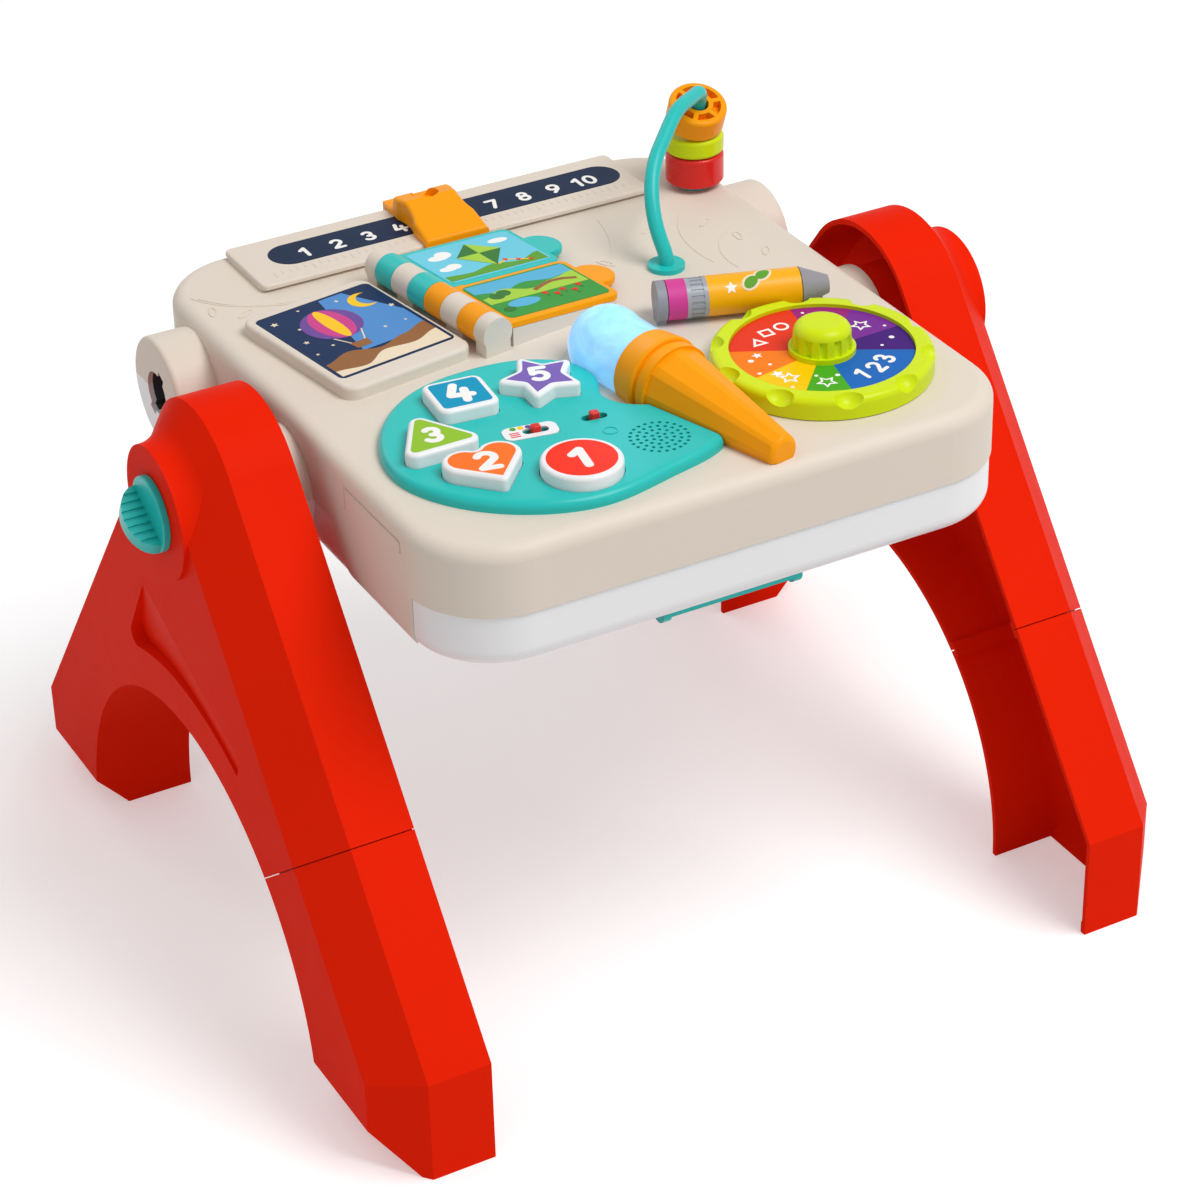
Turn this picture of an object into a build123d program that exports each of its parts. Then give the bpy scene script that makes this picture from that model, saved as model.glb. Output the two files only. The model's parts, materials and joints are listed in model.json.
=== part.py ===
from build123d import *
from math import asin, atan, atan2, cos, degrees, hypot, radians, sin, tan
import os

os.makedirs("parts", exist_ok=True)

# Activity table for a standing toddler, in millimetres.
# X runs from left to right, Y to the back and Z up. The origin is on the floor under the middle of the table.

# Fits
GAP = 0.3           # between neighbouring pieces that don't run on each other
RUN = 0.05          # radial running fit of a shaft in its hole
OVER = 5.0          # overrun of cuts

# Main sizes
TABLE_W = 360.0
TABLE_D = 396.0
TOP_Z = 339.0
HUB_Z = 298.0       # height of the axis on which the legs are plugged to the table
BOTTOM_Z = 264.0

# Legs
LEG_SIDE_GAP = 16.0   # between the table's side and the legs' open inner side
LEG_FLAT = 38.0     # width of the front face
LEG_BEVEL_DEPTH = 24.5   # from the front face to the outer face
LEG_BEVEL = 28.5    # how far the outer face lies inside the front face's outline
LEG_HUB_R = 58.5    # round band over the hub
LEG_WALL = 3.2
FOOT_Y = 256.5      # front face of the feet
KNEE_Z = 65.0       # where the upright foot turns into the slope
ARCH_R = 161.0      # half-round arch between the feet
CHANNEL_R = 20.0    # round inside the channel, between the arch wall and the outer wall
FOOT_PAD = 3.0      # rounded lip in the feet's inner front corners
BOSS_R = 39.0       # round outer boss that carries the lock knob
BOSS_PROUD = 2.5    # of the boss, over the outer face
COVE_R = 18.0       # hollow round between bevel and boss
SLEEVE_WALL = 4.0   # sleeve in the hub that takes the table's spigot
RECESS_R = 188.0    # sunk field on the outer face, steep along the arch and the rear, rising towards the hub
RECESS_FRONT_DEG = 115.5
RECESS_REAR_DEG = 66.0
RECESS_TIP = 14.0   # width of its front end
RECESS_HOOK_Y = 38.0   # its upper end
RECESS_HOOK_Z = 232.0
RECESS_DEPTH = 10.0
RECESS_ROUND = 7.0
SPLIT_RUN = 209.0   # distance of the front leg's split from the hub axis, along the leg
SPLIT_GAP = 0.6
SPLIT_SIDE = 120.0  # half width of the slab that parts the lower leg, clear of the rear leg
SPLIT_LENGTH = 220.0
TONGUE_W = 26.0     # tongue of the lower leg, plugged into the leg frame
TONGUE_UP = 30.0
TONGUE_DOWN = 26.0
TONGUE_T = 3.0
TONGUE_SIDE = 5.5   # its middle, across the leg
CLIP_RIB = 3.0      # arch-shaped rib round the tongue
CLIP_RIB_H = 9.0
LAP_UP = 5.0        # lip of the lower leg, inside the leg frame's wall
LAP_DOWN = 5.0
LAP_T = 2.0

# Lock knobs
KNOB_R = 22.0
KNOB_T = 4.0
KNOB_SHAFT_R = 13.0
FIN_R = 20.0        # half length of the fin
FIN_REACH = 13.5
FIN_T = 9.0
FIN_TILT = 31.0
FIN_RIBS = 7
FIN_RIB_DEPTH = 1.2
FIN_RIB_W = 2.2
FIN_RIB_PITCH = 5.0
LUG_R = 16.5        # bayonet lugs behind the hub bush
LUG_W = 6.0
LUG_T = 4.0
LUG_PLAY = 1.0      # behind the bush

# Table body
TABLE_CORNER_R = 50.0
WALL = 3.0
TOP_EDGE_R = 9.0
BOTTOM_EDGE_R = 12.0
LOWER_STEP = 1.0    # the lower shell lies back from the upper shell's side
TAB_INSET = 46.0    # side tabs of the upper shell that reach down over the lower shell, from the front edge
TAB_TOP_W = 95.0
TAB_LOW_W = 74.0
LINE_W = 1.8        # engraved line on the sides
LINE_DEPTH = 0.8
LINE_INSET = 9.0    # from the tab's front edge
LINE_L = 70.0
LINE_DROP = 11.0    # under the table's top
LINE_REAR_H = 15.0
LINE_FRONT_H = 8.0

# Side bosses and their bushes
HUB_BOSS_R = 31.0   # shoulder against the leg
SPIGOT_R = 24.0     # enters the leg's sleeve
SPIGOT_L = 26.0
REAR_BOSS_BACK = 71.0   # from the rear edge
REAR_BOSS_R = 34.0
REAR_BOSS_L = 26.0
BOSS_EDGE_R = 3.0
BUSH_R = 19.0

# Case screws
SCREW_SIDE = 32.0   # from the table's sides and ends
SCREW_END = 30.0
SCREW_R = 1.7
SCREW_HEAD_R = 3.4
SCREW_HEAD_H = 2.4
SCREW_LENGTH = 26.0
POST_R = 5.5
POST_FLOOR = 4.0    # of the posts, under the screw's head

# Battery box
CELL_R = 7.25
CELL_LENGTH = 50.5
CELL_COUNT = 3
CELL_PITCH = 15.2
CELL_NUB_R = 2.7
CELL_NUB = 1.0
CONTACT_T = 0.8
CONTACT_W = 9.0
BOX_Y = 70.0
BOX_WALL = 2.0
BOX_ROOM = 0.8      # room round the cells
DOOR_T = 2.4
DOOR_RIM = 5.0      # the door overlaps the box opening
DOOR_SCREW_R = 1.5
DOOR_SCREW_HEAD_R = 3.0
DOOR_SCREW_HEAD_H = 1.2
DOOR_SCREW_LENGTH = 9.0
DOOR_POST_R = 4.2
DOOR_TONGUE = 14.0  # end of the door that holds its screw

# Paper ledge under the front edge
LEDGE_W = 88.0
LEDGE_INSET = 16.0  # behind the table's front edge
LEDGE_D = 22.0
LEDGE_T = 3.5
LEDGE_DROP = 4.5
LEDGE_EAR_W = 5.0
LEDGE_EAR_H = 13.0
LEDGE_PEG_R = 3.0
LEDGE_PEG = 6.0
LEDGE_PEG_X = 30.0

# Ruler bar, number strip and slider
RULER_LEFT = 49.0   # from the table's edges
RULER_RIGHT = 50.0
RULER_BACK = 5.0
RULER_W = 58.0
RULER_UNDERCUT = 3.0
RULER_FOOT = 2.0
RULER_PLATE = 3.0
RULER_CORNER_R = 4.0
RULER_EDGE_R = 1.5
STRIP_LEFT = 18.5   # from the ruler's edges
STRIP_RIGHT = 6.5
STRIP_FRONT = 18.0
STRIP_W = 27.0
STRIP_T = 1.2
STRIP_SINK = 1.0
SLIDER_START = 126.0   # from the ruler's left end
SLIDER_W = 42.0
SLIDER_LIP = 1.0
SLIDER_SKIRT = 3.4  # wall in front of and behind the bar
SLIDER_ROOM = 0.4
SLIDER_FRONT_H = 4.0   # over the bar
SLIDER_TOP_H = 15.0
SLIDER_REAR_H = 13.0
SLIDER_BACK_H = 3.5    # low step behind the crest
SLIDER_WAIST_R = 40.0
SLIDER_WAIST = 3.5
SLIDER_EDGE_R = 2.5
SLIDER_HOLE_R = 8.5
SLIDER_HOLE_DEPTH = 7.0
SLIDER_TOP_FRONT_SHARE = 0.55
SLIDER_TOP_REAR_SHARE = 0.76
SLIDER_STEP_SHARE = 0.8
SLIDER_HOLE_SHARE = 0.66
SLIDER_TAPER_SHARE = 0.86   # rear width to front width

# Book: picture tray, hinge spine and flip pages
BOOK_LEFT = 123.0   # spine's middle, from the table's left and rear edges
BOOK_BACK = 141.5
BOOK_TURN = 8.8
SPINE_R = 10.0
SPINE_H = 12.6      # height of the pages' axis over the top
SPINE_FRONT = -50.0   # inner faces of the spine's end blocks
SPINE_REAR = 48.0
SPINE_BLOCK = 10.0
BLOCK_W = 17.0
KNUCKLES = 6
KNUCKLE_GAP = 0.4
KNUCKLE_WEB = 6.0
PIN_R = 2.5
PAGE_FALL = 5.0     # the pages slope down from the spine
PAGE_T = 4.0
PAGE_W = 90.0
PAGE_FRONT = -58.0
PAGE_REAR = 54.5
PAGE_CORNER_R = 6.0
PAGE_EDGE_R = 1.2
TAB_R = 13.0
TAB_REACH = 106.0
FRONT_TAB = -27.0
REAR_TAB = 24.0
PRINT_T = 0.6
PRINT_RIM = 4.0
PRINT_START = 13.0
PLATFORM_START = 12.0
PLATFORM_END = 86.0
TRAY_LEFT = -98.0
TRAY_RIGHT = -12.0
TRAY_FRONT = -54.0
TRAY_REAR = 58.0
TRAY_H = 7.9
TRAY_CORNER_R = 9.0
TRAY_EDGE_R = 2.5
PICTURE_W = 78.0
PICTURE_D = 90.0
PICTURE_U = -54.0
PICTURE_V = 5.0
PICTURE_T = 1.4
PICTURE_CORNER_R = 4.0

# Bead rod
ROD_R = 4.5
ROD_RIGHT = 19.0    # rear foot, from the table's right and rear edges
ROD_BACK = 63.0
ROD_SPAN_X = 73.0   # between the feet
ROD_SPAN_Y = 92.0
ROD_BOW_ALONG = 12.0   # first bend, measured along the line between the rod's feet
ROD_BOW_LEFT = 16.0
ROD_BOW_H = 44.0
ROD_CREST_ALONG = 70.0
ROD_CREST_LEFT = 4.0
ROD_CREST_H = 70.0
ROD_TOP_ALONG = 108.0
ROD_TOP_LEFT = -6.0
ROD_TOP_H = 67.0
ROD_BEND_H = 42.0
ROD_BEND_RADII = (60.0, 45.0, 12.0, 24.0)
ROD_FLANGE_R = 11.0
ROD_FLANGE_H = 3.0
ROD_TAIL = 6.0      # end of the rod under the shell's top
BEAD_R = 18.0
BEAD_BORE_R = 6.4
BEAD_GAP = 0.4
BEAD_RED_H = 19.5
BEAD_LIME_H = 11.5
BEAD_ORANGE_H = 16.0
BEAD_EDGE_R = 2.4
BEAD_HUB_R = 9.2
BEAD_RIM = 4.0
BEAD_RECESS = 5.0
BEAD_SPOKES = 6
BEAD_SPOKE_W = 3.0

# Pencil roller
PENCIL_RIGHT = 84.0   # its middle, from the table's right and front edges
PENCIL_FRONT = 168.0
PENCIL_TURN = -18.5
PENCIL_R = 11.8
PENCIL_H = 13.0     # height of its axis over the top
PENCIL_CAP = 5.5
PENCIL_ERASER = 11.5
PENCIL_FERRULE = 12.5
PENCIL_BARREL = 55.0
PENCIL_TIP = 17.0
PENCIL_TIP_R = 5.4
PENCIL_AXLE_R = 3.0
PENCIL_JOINT = 0.5  # gap between the turning roller and its fixed ends
FERRULE_RIDGES = 20
FERRULE_RIDGE = 0.7
FERRULE_BAND_SHARE = 0.2

# Dial
DIAL_RIGHT = 80.0   # its axis, from the table's right and front edges
DIAL_FRONT = 87.5
DIAL_R = 63.0
DIAL_H = 12.5
DIAL_LIFT = 0.6     # running gap over the top
DIAL_DISC_R = 52.0
DIAL_DISC_T = 3.0
DIAL_DISC_SINK = 2.0
DIAL_EDGE_R = 4.0
DIAL_DENTS = 10
DIAL_DENT_R = 9.0
DIAL_DENT_SIDE = 0.5
DIAL_DENT_H = 2.5
DIAL_WEB = 4.0      # ring's floor under the disc
DIAL_KNOB_R = 19.0
DIAL_KNOB_BODY_R = 17.2
DIAL_KNOB_TOP_R = 15.8
DIAL_KNOB_H = 18.0
DIAL_KNOB_FLANGE = 3.0
DIAL_KNOB_EDGE_R = 6.5
DIAL_FLUTES = 12
DIAL_FLUTE_R = 2.4
DIAL_FLUTE_TOP = 12.5
DIAL_SPINDLE_R = 8.0
DIAL_COLLAR_R = 14.0
DIAL_COLLAR = 12.0  # bearing collar under the shell's top
DIAL_CLIP_R = 12.0
DIAL_CLIP_T = 2.0

# Brush with a lit tip
BRUSH_X = 1.0       # middle of the lit tip
BRUSH_FRONT = 155.0   # from the table's front edge
BRUSH_H = 11.0
BRUSH_TURN = 9.8
BRUSH_FALL = 2.4
LENS_R = 23.0
LENS_NECK_R = 22.0
BRUSH_COLLAR = 32.0   # from the tip's middle to the collar's face
BRUSH_FACE_R = 23.0
BRUSH_COLLAR_R = 25.5
BRUSH_COLLAR_L = 18.0
BRUSH_NECK_R = 22.5   # groove behind the collar
BRUSH_NECK_L = 3.0
BRUSH_RING_R = 24.0
BRUSH_RING_L = 6.0
BRUSH_GRIP_R = 22.5   # thick end of the handle
BRUSH_TAIL_R = 9.5
BRUSH_LENGTH = 150.0
BRUSH_TAIL_EDGE_R = 4.0
BRUSH_EDGE_R = 2.0
BRUSH_FLATS = 8     # long flats on the handle
BRUSH_FLAT_SHARE = 0.965
BRUSH_ROOM = 0.8    # between the brush and the palette
LIGHT_R = 4.0
LIGHT_H = 7.0
LIGHT_PLATE_R = 11.0
LIGHT_PLATE_T = 2.0

# Palette with buttons and switches
PALETTE_LEFT = 107.0   # its middle, from the table's left and front edges
PALETTE_FRONT = 97.0
PALETTE_W = 180.0
PALETTE_D = 164.0
PALETTE_T = 7.0
PALETTE_EDGE_R = 4.5
PALETTE_LEDGE = 4.0   # of the shell's top under the palette's rim
PALETTE_SHARES = ((-0.500, -0.006), (-0.439, 0.238), (-0.217, 0.463), (-0.028, 0.500), (0.156, 0.470),
                  (0.294, 0.341), (0.306, 0.226), (0.267, 0.110), (0.311, 0.000), (0.428, -0.067),
                  (0.500, -0.189), (0.472, -0.329),
                  (0.233, -0.445), (-0.028, -0.500), (-0.233, -0.433), (-0.400, -0.280))
BUTTON_SIZE = 45.0
BUTTON_RISE = 8.0   # over the palette
BUTTON_TRAVEL = 3.0
BUTTON_SIDE_GAP = 0.5
BUTTON_EDGE_R = 2.2
BUTTON_FLANGE = 1.5
BUTTON_FLANGE_T = 2.4
BUTTON_STOP = 0.3   # gap between flange and palette at rest
BUTTON_STEM_R = 6.0
BUTTON_STEM = 4.0
BUTTON_CORNER_R = 6.0
INSERT_RIM = 3.2
INSERT_T = 0.8
# from the palette's middle, with a turn
BUTTON_PLACES = {"circle": (-4.0, -53.5, 0.0), "heart": (-48.5, -31.0, 0.0), "triangle": (-60.5, 8.0, 0.0),
                 "square": (-26.5, 44.0, -6.0), "star": (21.0, 39.5, 3.0)}
HEART_LOBE_SHARE = 0.27
HEART_SIDE_SHARE = 0.23
HEART_ROUND_SHARE = 0.07
HEART_RISE_SHARE = 0.15
HEART_POINT_SHARE = 0.5
TRIANGLE_SHARE = 0.66
SQUARE_SHARE = 0.78
STAR_SHARE = 0.58
STAR_INNER_SHARE = 0.32
STAR_ROUND_SHARE = 0.06
STAR_POINTS = 5
SWITCH_PLACES = {"power_switch": (-4.5, -2.0, -10.0), "volume_switch": (30.0, -5.0, -8.0)}
SWITCH_SLOT_L = 15.0
SWITCH_SLOT_W = 6.0
SWITCH_KNOB_L = 5.4
SWITCH_KNOB_W = 5.0
SWITCH_KNOB_H = 3.6
SWITCH_BASE_L = 22.0
SWITCH_BASE_W = 10.0
SWITCH_BASE_T = 2.4
PLATE_L = 31.0
PLATE_W = 14.0
PLATE_T = 1.0
PLATE_SINK = 0.7
PLATE_SHIFT = -3.0
GRILLE_RIGHT = 49.3   # from the palette's middle
GRILLE_DOWN = 42.5
GRILLE_RINGS = 4
GRILLE_PITCH = 4.0
GRILLE_HOLE_R = 1.2
GRILLE_SIDES = 6
SPEAKER_R = 20.0
SPEAKER_H = 12.0
SPEAKER_CONE_R = 17.0
SPEAKER_MAGNET_R = 11.0
SPEAKER_FRAME = 3.0
BOARD_SIDE = 23.5   # from the palette's middle
BOARD_UP = 7.0
BOARD_W = 117.0
BOARD_D = 140.0
BOARD_T = 1.6
BOARD_CORNER_R = 20.0
MEMBRANE_RIM = 6.0
MEMBRANE_T = 1.6
DOME_R = 7.0
DOME_H = 2.0
BOARD_POST_R = 3.4
BOARD_POSTS = ((-11.0, 70.0), (23.0, -27.0), (-77.0, -18.0), (-15.0, 15.0))   # from the palette's middle

# Worked-out values
SEAM_Z = HUB_Z
LEFT_X, RIGHT_X = -TABLE_W / 2, TABLE_W / 2
FRONT_Y, REAR_Y = -TABLE_D / 2, TABLE_D / 2
LEG_IN_X = RIGHT_X + LEG_SIDE_GAP
LEG_FRONT_X = LEG_IN_X + LEG_FLAT
LEG_OUT_X = LEG_FRONT_X + LEG_BEVEL_DEPTH
BOSS_X = LEG_OUT_X + BOSS_PROUD
SPIGOT_X = LEG_IN_X + SPIGOT_L
REAR_BOSS_Y = REAR_Y - REAR_BOSS_BACK
REAR_BOSS_X = RIGHT_X + REAR_BOSS_L
BUSH_BORE_R = KNOB_SHAFT_R + RUN
BUSH_IN_X = RIGHT_X - WALL
LUG_X = BUSH_IN_X - LUG_PLAY - LUG_T
TAB_FRONT_Y = FRONT_Y + TAB_INSET
LINE_FRONT_Y = TAB_FRONT_Y + LINE_INSET
LINE_TOP_Z = TOP_Z - LINE_DROP
SCREW_X = RIGHT_X - SCREW_SIDE
SCREW_Y = REAR_Y - SCREW_END
LEDGE_Y = FRONT_Y + LEDGE_INSET
RULER_X0, RULER_X1 = LEFT_X + RULER_LEFT, RIGHT_X - RULER_RIGHT
RULER_Y1 = REAR_Y - RULER_BACK
RULER_Y0 = RULER_Y1 - RULER_W
STRIP_L = RULER_X1 - RULER_X0 - STRIP_LEFT - STRIP_RIGHT
STRIP_X = RULER_X0 + STRIP_LEFT + STRIP_L / 2
STRIP_Y = RULER_Y0 + STRIP_FRONT + STRIP_W / 2
SLIDER_X = RULER_X0 + SLIDER_START
BOOK_X, BOOK_Y = LEFT_X + BOOK_LEFT, REAR_Y - BOOK_BACK
ROD_REAR = (RIGHT_X - ROD_RIGHT, REAR_Y - ROD_BACK)
ROD_FRONT = (ROD_REAR[0] - ROD_SPAN_X, ROD_REAR[1] - ROD_SPAN_Y)
PENCIL_X, PENCIL_Y = RIGHT_X - PENCIL_RIGHT, FRONT_Y + PENCIL_FRONT
DIAL_X, DIAL_Y = RIGHT_X - DIAL_RIGHT, FRONT_Y + DIAL_FRONT
BRUSH_Y = FRONT_Y + BRUSH_FRONT
PALETTE_X, PALETTE_Y = LEFT_X + PALETTE_LEFT, FRONT_Y + PALETTE_FRONT
GRILLE_X, GRILLE_Y = PALETTE_X + GRILLE_RIGHT, PALETTE_Y - GRILLE_DOWN
BOARD_X, BOARD_Y = PALETTE_X - BOARD_SIDE, PALETTE_Y + BOARD_UP
KNEE_RISE = HUB_Z - KNEE_Z
LEG_SLOPE = atan2(KNEE_RISE, FOOT_Y) + asin(LEG_HUB_R / hypot(FOOT_Y, KNEE_RISE))
BEVEL_ANGLE = atan(LEG_BEVEL / (LEG_OUT_X - LEG_FRONT_X))
BUTTON_FLANGE_Z = TOP_Z - BUTTON_STOP - BUTTON_FLANGE_T
STEM_LOW_Z = BUTTON_FLANGE_Z - BUTTON_STEM
DOME_TOP_Z = STEM_LOW_Z - BUTTON_TRAVEL - GAP
BOARD_TOP_Z = DOME_TOP_Z - DOME_H - MEMBRANE_T
KNUCKLE = (SPINE_REAR - SPINE_FRONT) / KNUCKLES
BOOK = Location((BOOK_X, BOOK_Y, TOP_Z), (0, 0, BOOK_TURN))
PAGES = BOOK * Location((0, 0, SPINE_H), (0, PAGE_FALL, 0))
PENCIL = Location((PENCIL_X, PENCIL_Y, TOP_Z + PENCIL_H), (0, 0, PENCIL_TURN))
PENCIL_LENGTH = PENCIL_CAP + PENCIL_ERASER + PENCIL_FERRULE + PENCIL_BARREL + PENCIL_TIP
BRUSH = Location((BRUSH_X, BRUSH_Y, TOP_Z + BRUSH_H), (0, 0, BRUSH_TURN - 90))
BRUSH *= Location((0, 0, 0), (0, BRUSH_FALL, 0))
PALETTE_TOP_Z = TOP_Z + PALETTE_T
RULER_TOP_Z = TOP_Z + RULER_FOOT + RULER_PLATE
BOX_LENGTH = CELL_LENGTH + CELL_NUB + 2 * CONTACT_T + 2 * BOX_ROOM
BOX_WIDTH = CELL_PITCH * (CELL_COUNT - 1) + 2 * CELL_R + 2 * BOX_ROOM
BOX_FLOOR_Z = BOTTOM_Z + WALL
BOX_TOP_Z = BOX_FLOOR_Z + 2 * CELL_R + 2 * BOX_ROOM
SPAN = 2 * (LEG_OUT_X + TABLE_D)   # wider than the whole table

RISE = (Align.CENTER, Align.CENTER, Align.MIN)
SIDES = {"left": -1, "right": 1}


# Helpers
def x_rod(r, x0, x1, y=0, z=0):
    return Pos(x0, y, z) * Rot(0, 90, 0) * Cylinder(r, x1 - x0, align=RISE)


def z_rod(r, z0, z1, x=0, y=0):
    return Pos(x, y, z0) * Cylinder(r, z1 - z0, align=RISE)


def block(x0, x1, y0, y1, z0, z1):
    return Pos(x0, y0, z0) * Box(x1 - x0, y1 - y0, z1 - z0, align=(Align.MIN, Align.MIN, Align.MIN))


def slab(sketch, z0, z1):
    return extrude(Pos(0, 0, z0) * sketch, amount=z1 - z0)


def side_slab(sketch, x0, x1):
    """A sketch drawn in Y and Z, extruded along X."""
    return extrude(Plane.YZ.offset(x0) * sketch, amount=x1 - x0)


def turned(points):
    """A solid of revolution about X, from an outline of (x, radius) points."""
    return revolve(make_face(Polyline(*points, close=True)), Axis.X)


def on_side(shape, side):
    """A shape drawn for the right side, set on either side."""
    return shape if side > 0 else mirror(shape, about=Plane.YZ)


def above(shape, z):
    return shape & block(-SPAN, SPAN, -SPAN, SPAN, z, z + SPAN)


def below(shape, z):
    return shape & block(-SPAN, SPAN, -SPAN, SPAN, z - SPAN, z)


# Legs
def leg_outline(inset):
    foot = FOOT_Y - inset
    knee = KNEE_Z - inset * (1 - sin(LEG_SLOPE)) / cos(LEG_SLOPE)
    ring = LEG_HUB_R - inset
    y, z = ring * sin(LEG_SLOPE), HUB_Z + ring * cos(LEG_SLOPE)
    sides = Polyline((-y, z), (-foot, knee), (-foot, -OVER), (foot, -OVER), (foot, knee), (y, z))
    return make_face((sides + ThreePointArc((y, z), (0, HUB_Z + ring), (-y, z))).edges())


def leg_block(inset):
    outline = leg_outline(inset)
    turn = LEG_FRONT_X - inset * tan(BEVEL_ANGLE / 2)
    straight = side_slab(outline, LEG_IN_X - inset, turn)
    reach = LEG_OUT_X - inset - turn
    bevel = extrude(Plane.YZ.offset(turn) * outline, amount=reach, taper=degrees(BEVEL_ANGLE))
    return straight + bevel - x_rod(ARCH_R + inset, LEG_IN_X - OVER, LEG_OUT_X + OVER)


def leg_hollow(inset):
    """Inside of the channel, with a wide round between the arch wall and the outer wall."""
    hollow = leg_block(inset)
    arcs = hollow.edges().filter_by(GeomType.CIRCLE)
    corner = [e for e in arcs if e.radius > ARCH_R and e.center().X > LEG_FRONT_X]
    return fillet(corner, CHANNEL_R + LEG_WALL - inset)


def hub_boss():
    cone = LEG_FRONT_X + (LEG_HUB_R - BOSS_R) / tan(BEVEL_ANGLE)
    points = ((LEG_FRONT_X, 0), (LEG_FRONT_X, LEG_HUB_R), (cone, BOSS_R), (BOSS_X, BOSS_R), (BOSS_X, 0))
    face = make_face(Polyline(*points, close=True))
    face = fillet(face.vertices().sort_by_distance((cone, BOSS_R, 0))[0], COVE_R)
    return Pos(0, 0, HUB_Z) * revolve(face, Axis.X)


def recess_corners():
    """Rear, front and tip corners of the sunk field in Y and Z, and its upper end."""
    rear, front = radians(RECESS_REAR_DEG), radians(RECESS_FRONT_DEG)
    spots = ((RECESS_R, rear), (RECESS_R, front), (RECESS_R + RECESS_TIP, front))
    points = [(reach * cos(turn), reach * sin(turn)) for reach, turn in spots]
    return (*points, (RECESS_HOOK_Y, RECESS_HOOK_Z))


def recess(floor, room):
    """The sunk field: level at the line from its tip to its upper end, and deepest at the rear corner."""
    rear, front, tip, hook = recess_corners()
    arc = CenterArc((0, 0), RECESS_R, RECESS_REAR_DEG, RECESS_FRONT_DEG - RECESS_REAR_DEG)
    field = make_face((arc + Polyline(front, tip, hook, rear)).edges())
    corners = [field.vertices().sort_by_distance((*spot, 0))[0] for spot in (rear, hook)]
    field = fillet(corners, RECESS_ROUND)
    length = hypot(hook[0] - tip[0], hook[1] - tip[1])
    along = ((hook[0] - tip[0]) / length, (hook[1] - tip[1]) / length)
    reach = (rear[0] - tip[0]) * along[1] - (rear[1] - tip[1]) * along[0]
    start = Plane((LEG_OUT_X, *tip), x_dir=(0, along[1], -along[0]), z_dir=(0, *along)).offset(-length)
    deep = RECESS_DEPTH + floor
    wedge = make_face(Polyline((-room, -OVER), (reach, -OVER), (reach, deep), (-room, floor), close=True))
    wedge = extrude(start * wedge, amount=2 * length + reach)
    outline = field if room == 0 else offset(field, room)
    return wedge & side_slab(outline, LEG_OUT_X - 2 * deep, LEG_OUT_X + OVER)


def along_leg(run, side):
    """A point (Y, Z) at a distance from the hub along the front leg, and to its upper side."""
    c, s = cos(LEG_SLOPE), sin(LEG_SLOPE)
    return (-run * c - side * s, HUB_Z - run * s + side * c)


def leg_slab(run0, run1, side0, side1, x0, x1):
    corners = [along_leg(*p) for p in ((run0, side0), (run1, side0), (run1, side1), (run0, side1))]
    return side_slab(make_face(Polyline(*corners, close=True)), x0, x1)


def clip_rib():
    """Arch-shaped rib inside the leg, round the tongue of the lower leg."""
    y, z = along_leg(SPLIT_RUN - TONGUE_UP, TONGUE_SIDE)
    inner = TONGUE_W / 2 + GAP
    x0, x1 = LEG_OUT_X - LEG_WALL - CLIP_RIB_H, LEG_OUT_X - LEG_WALL
    rib = None
    for r in (inner + CLIP_RIB, inner):
        low = SPLIT_RUN - LAP_UP - GAP
        legs = leg_slab(SPLIT_RUN - TONGUE_UP, low, TONGUE_SIDE - r, TONGUE_SIDE + r, x0, x1)
        arch = legs + x_rod(r, x0, x1, y, z)
        rib = arch if rib is None else rib - arch
    return rib


def foot_lip(side):
    """Rounded bead along the inner front edge of a foot's floor end."""
    y = side * (FOOT_Y - FOOT_PAD)
    return z_rod(FOOT_PAD, 0, 2 * FOOT_PAD, LEG_IN_X + FOOT_PAD, y)


def leg_shell():
    shell = leg_block(0) + hub_boss() - leg_hollow(LEG_WALL)
    sleeve_r = SPIGOT_R + GAP + SLEEVE_WALL
    shell += x_rod(sleeve_r, LEG_IN_X, LEG_OUT_X, 0, HUB_Z)
    shell += recess(LEG_WALL, LEG_WALL) & leg_block(0)
    shell += clip_rib()
    shell += foot_lip(-1)
    shell += foot_lip(1)
    shell -= recess(0, 0)
    shell -= x_rod(SPIGOT_R + GAP, LEG_IN_X - OVER, SPIGOT_X + GAP, 0, HUB_Z)
    shell -= Pos(0, 0, HUB_Z) * knob_bore(LEG_IN_X, BOSS_X + OVER)
    return above(shell, 0)


def split_slab(run):
    return leg_slab(run, SPLIT_RUN + SPLIT_LENGTH, -SPLIT_SIDE, SPLIT_SIDE, LEG_IN_X - OVER, BOSS_X + OVER)


def lower_tongue():
    x1 = LEG_OUT_X - LEG_WALL
    s0, s1 = TONGUE_SIDE - TONGUE_W / 2, TONGUE_SIDE + TONGUE_W / 2
    up = leg_slab(SPLIT_RUN - TONGUE_UP, SPLIT_RUN + TONGUE_DOWN, s0, s1, x1 - GAP - TONGUE_T, x1 - GAP)
    root = leg_slab(SPLIT_RUN + SPLIT_GAP, SPLIT_RUN + TONGUE_DOWN, s0, s1, x1 - GAP - TONGUE_T, x1)
    return up + root


def lower_lap():
    """Lip round the upper end of the lower leg, inside the leg frame's wall, so that the joint is closed."""
    inner = leg_hollow(LEG_WALL + GAP + LAP_T)
    low = SPLIT_RUN + LAP_DOWN
    up = leg_hollow(LEG_WALL + GAP) - inner
    up &= leg_slab(SPLIT_RUN - LAP_UP, low, -SPLIT_SIDE, SPLIT_SIDE, LEG_IN_X, BOSS_X)
    root = leg_hollow(LEG_WALL - GAP) - inner
    root &= leg_slab(SPLIT_RUN + SPLIT_GAP, low, -SPLIT_SIDE, SPLIT_SIDE, LEG_IN_X, BOSS_X)
    return up + root


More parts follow.
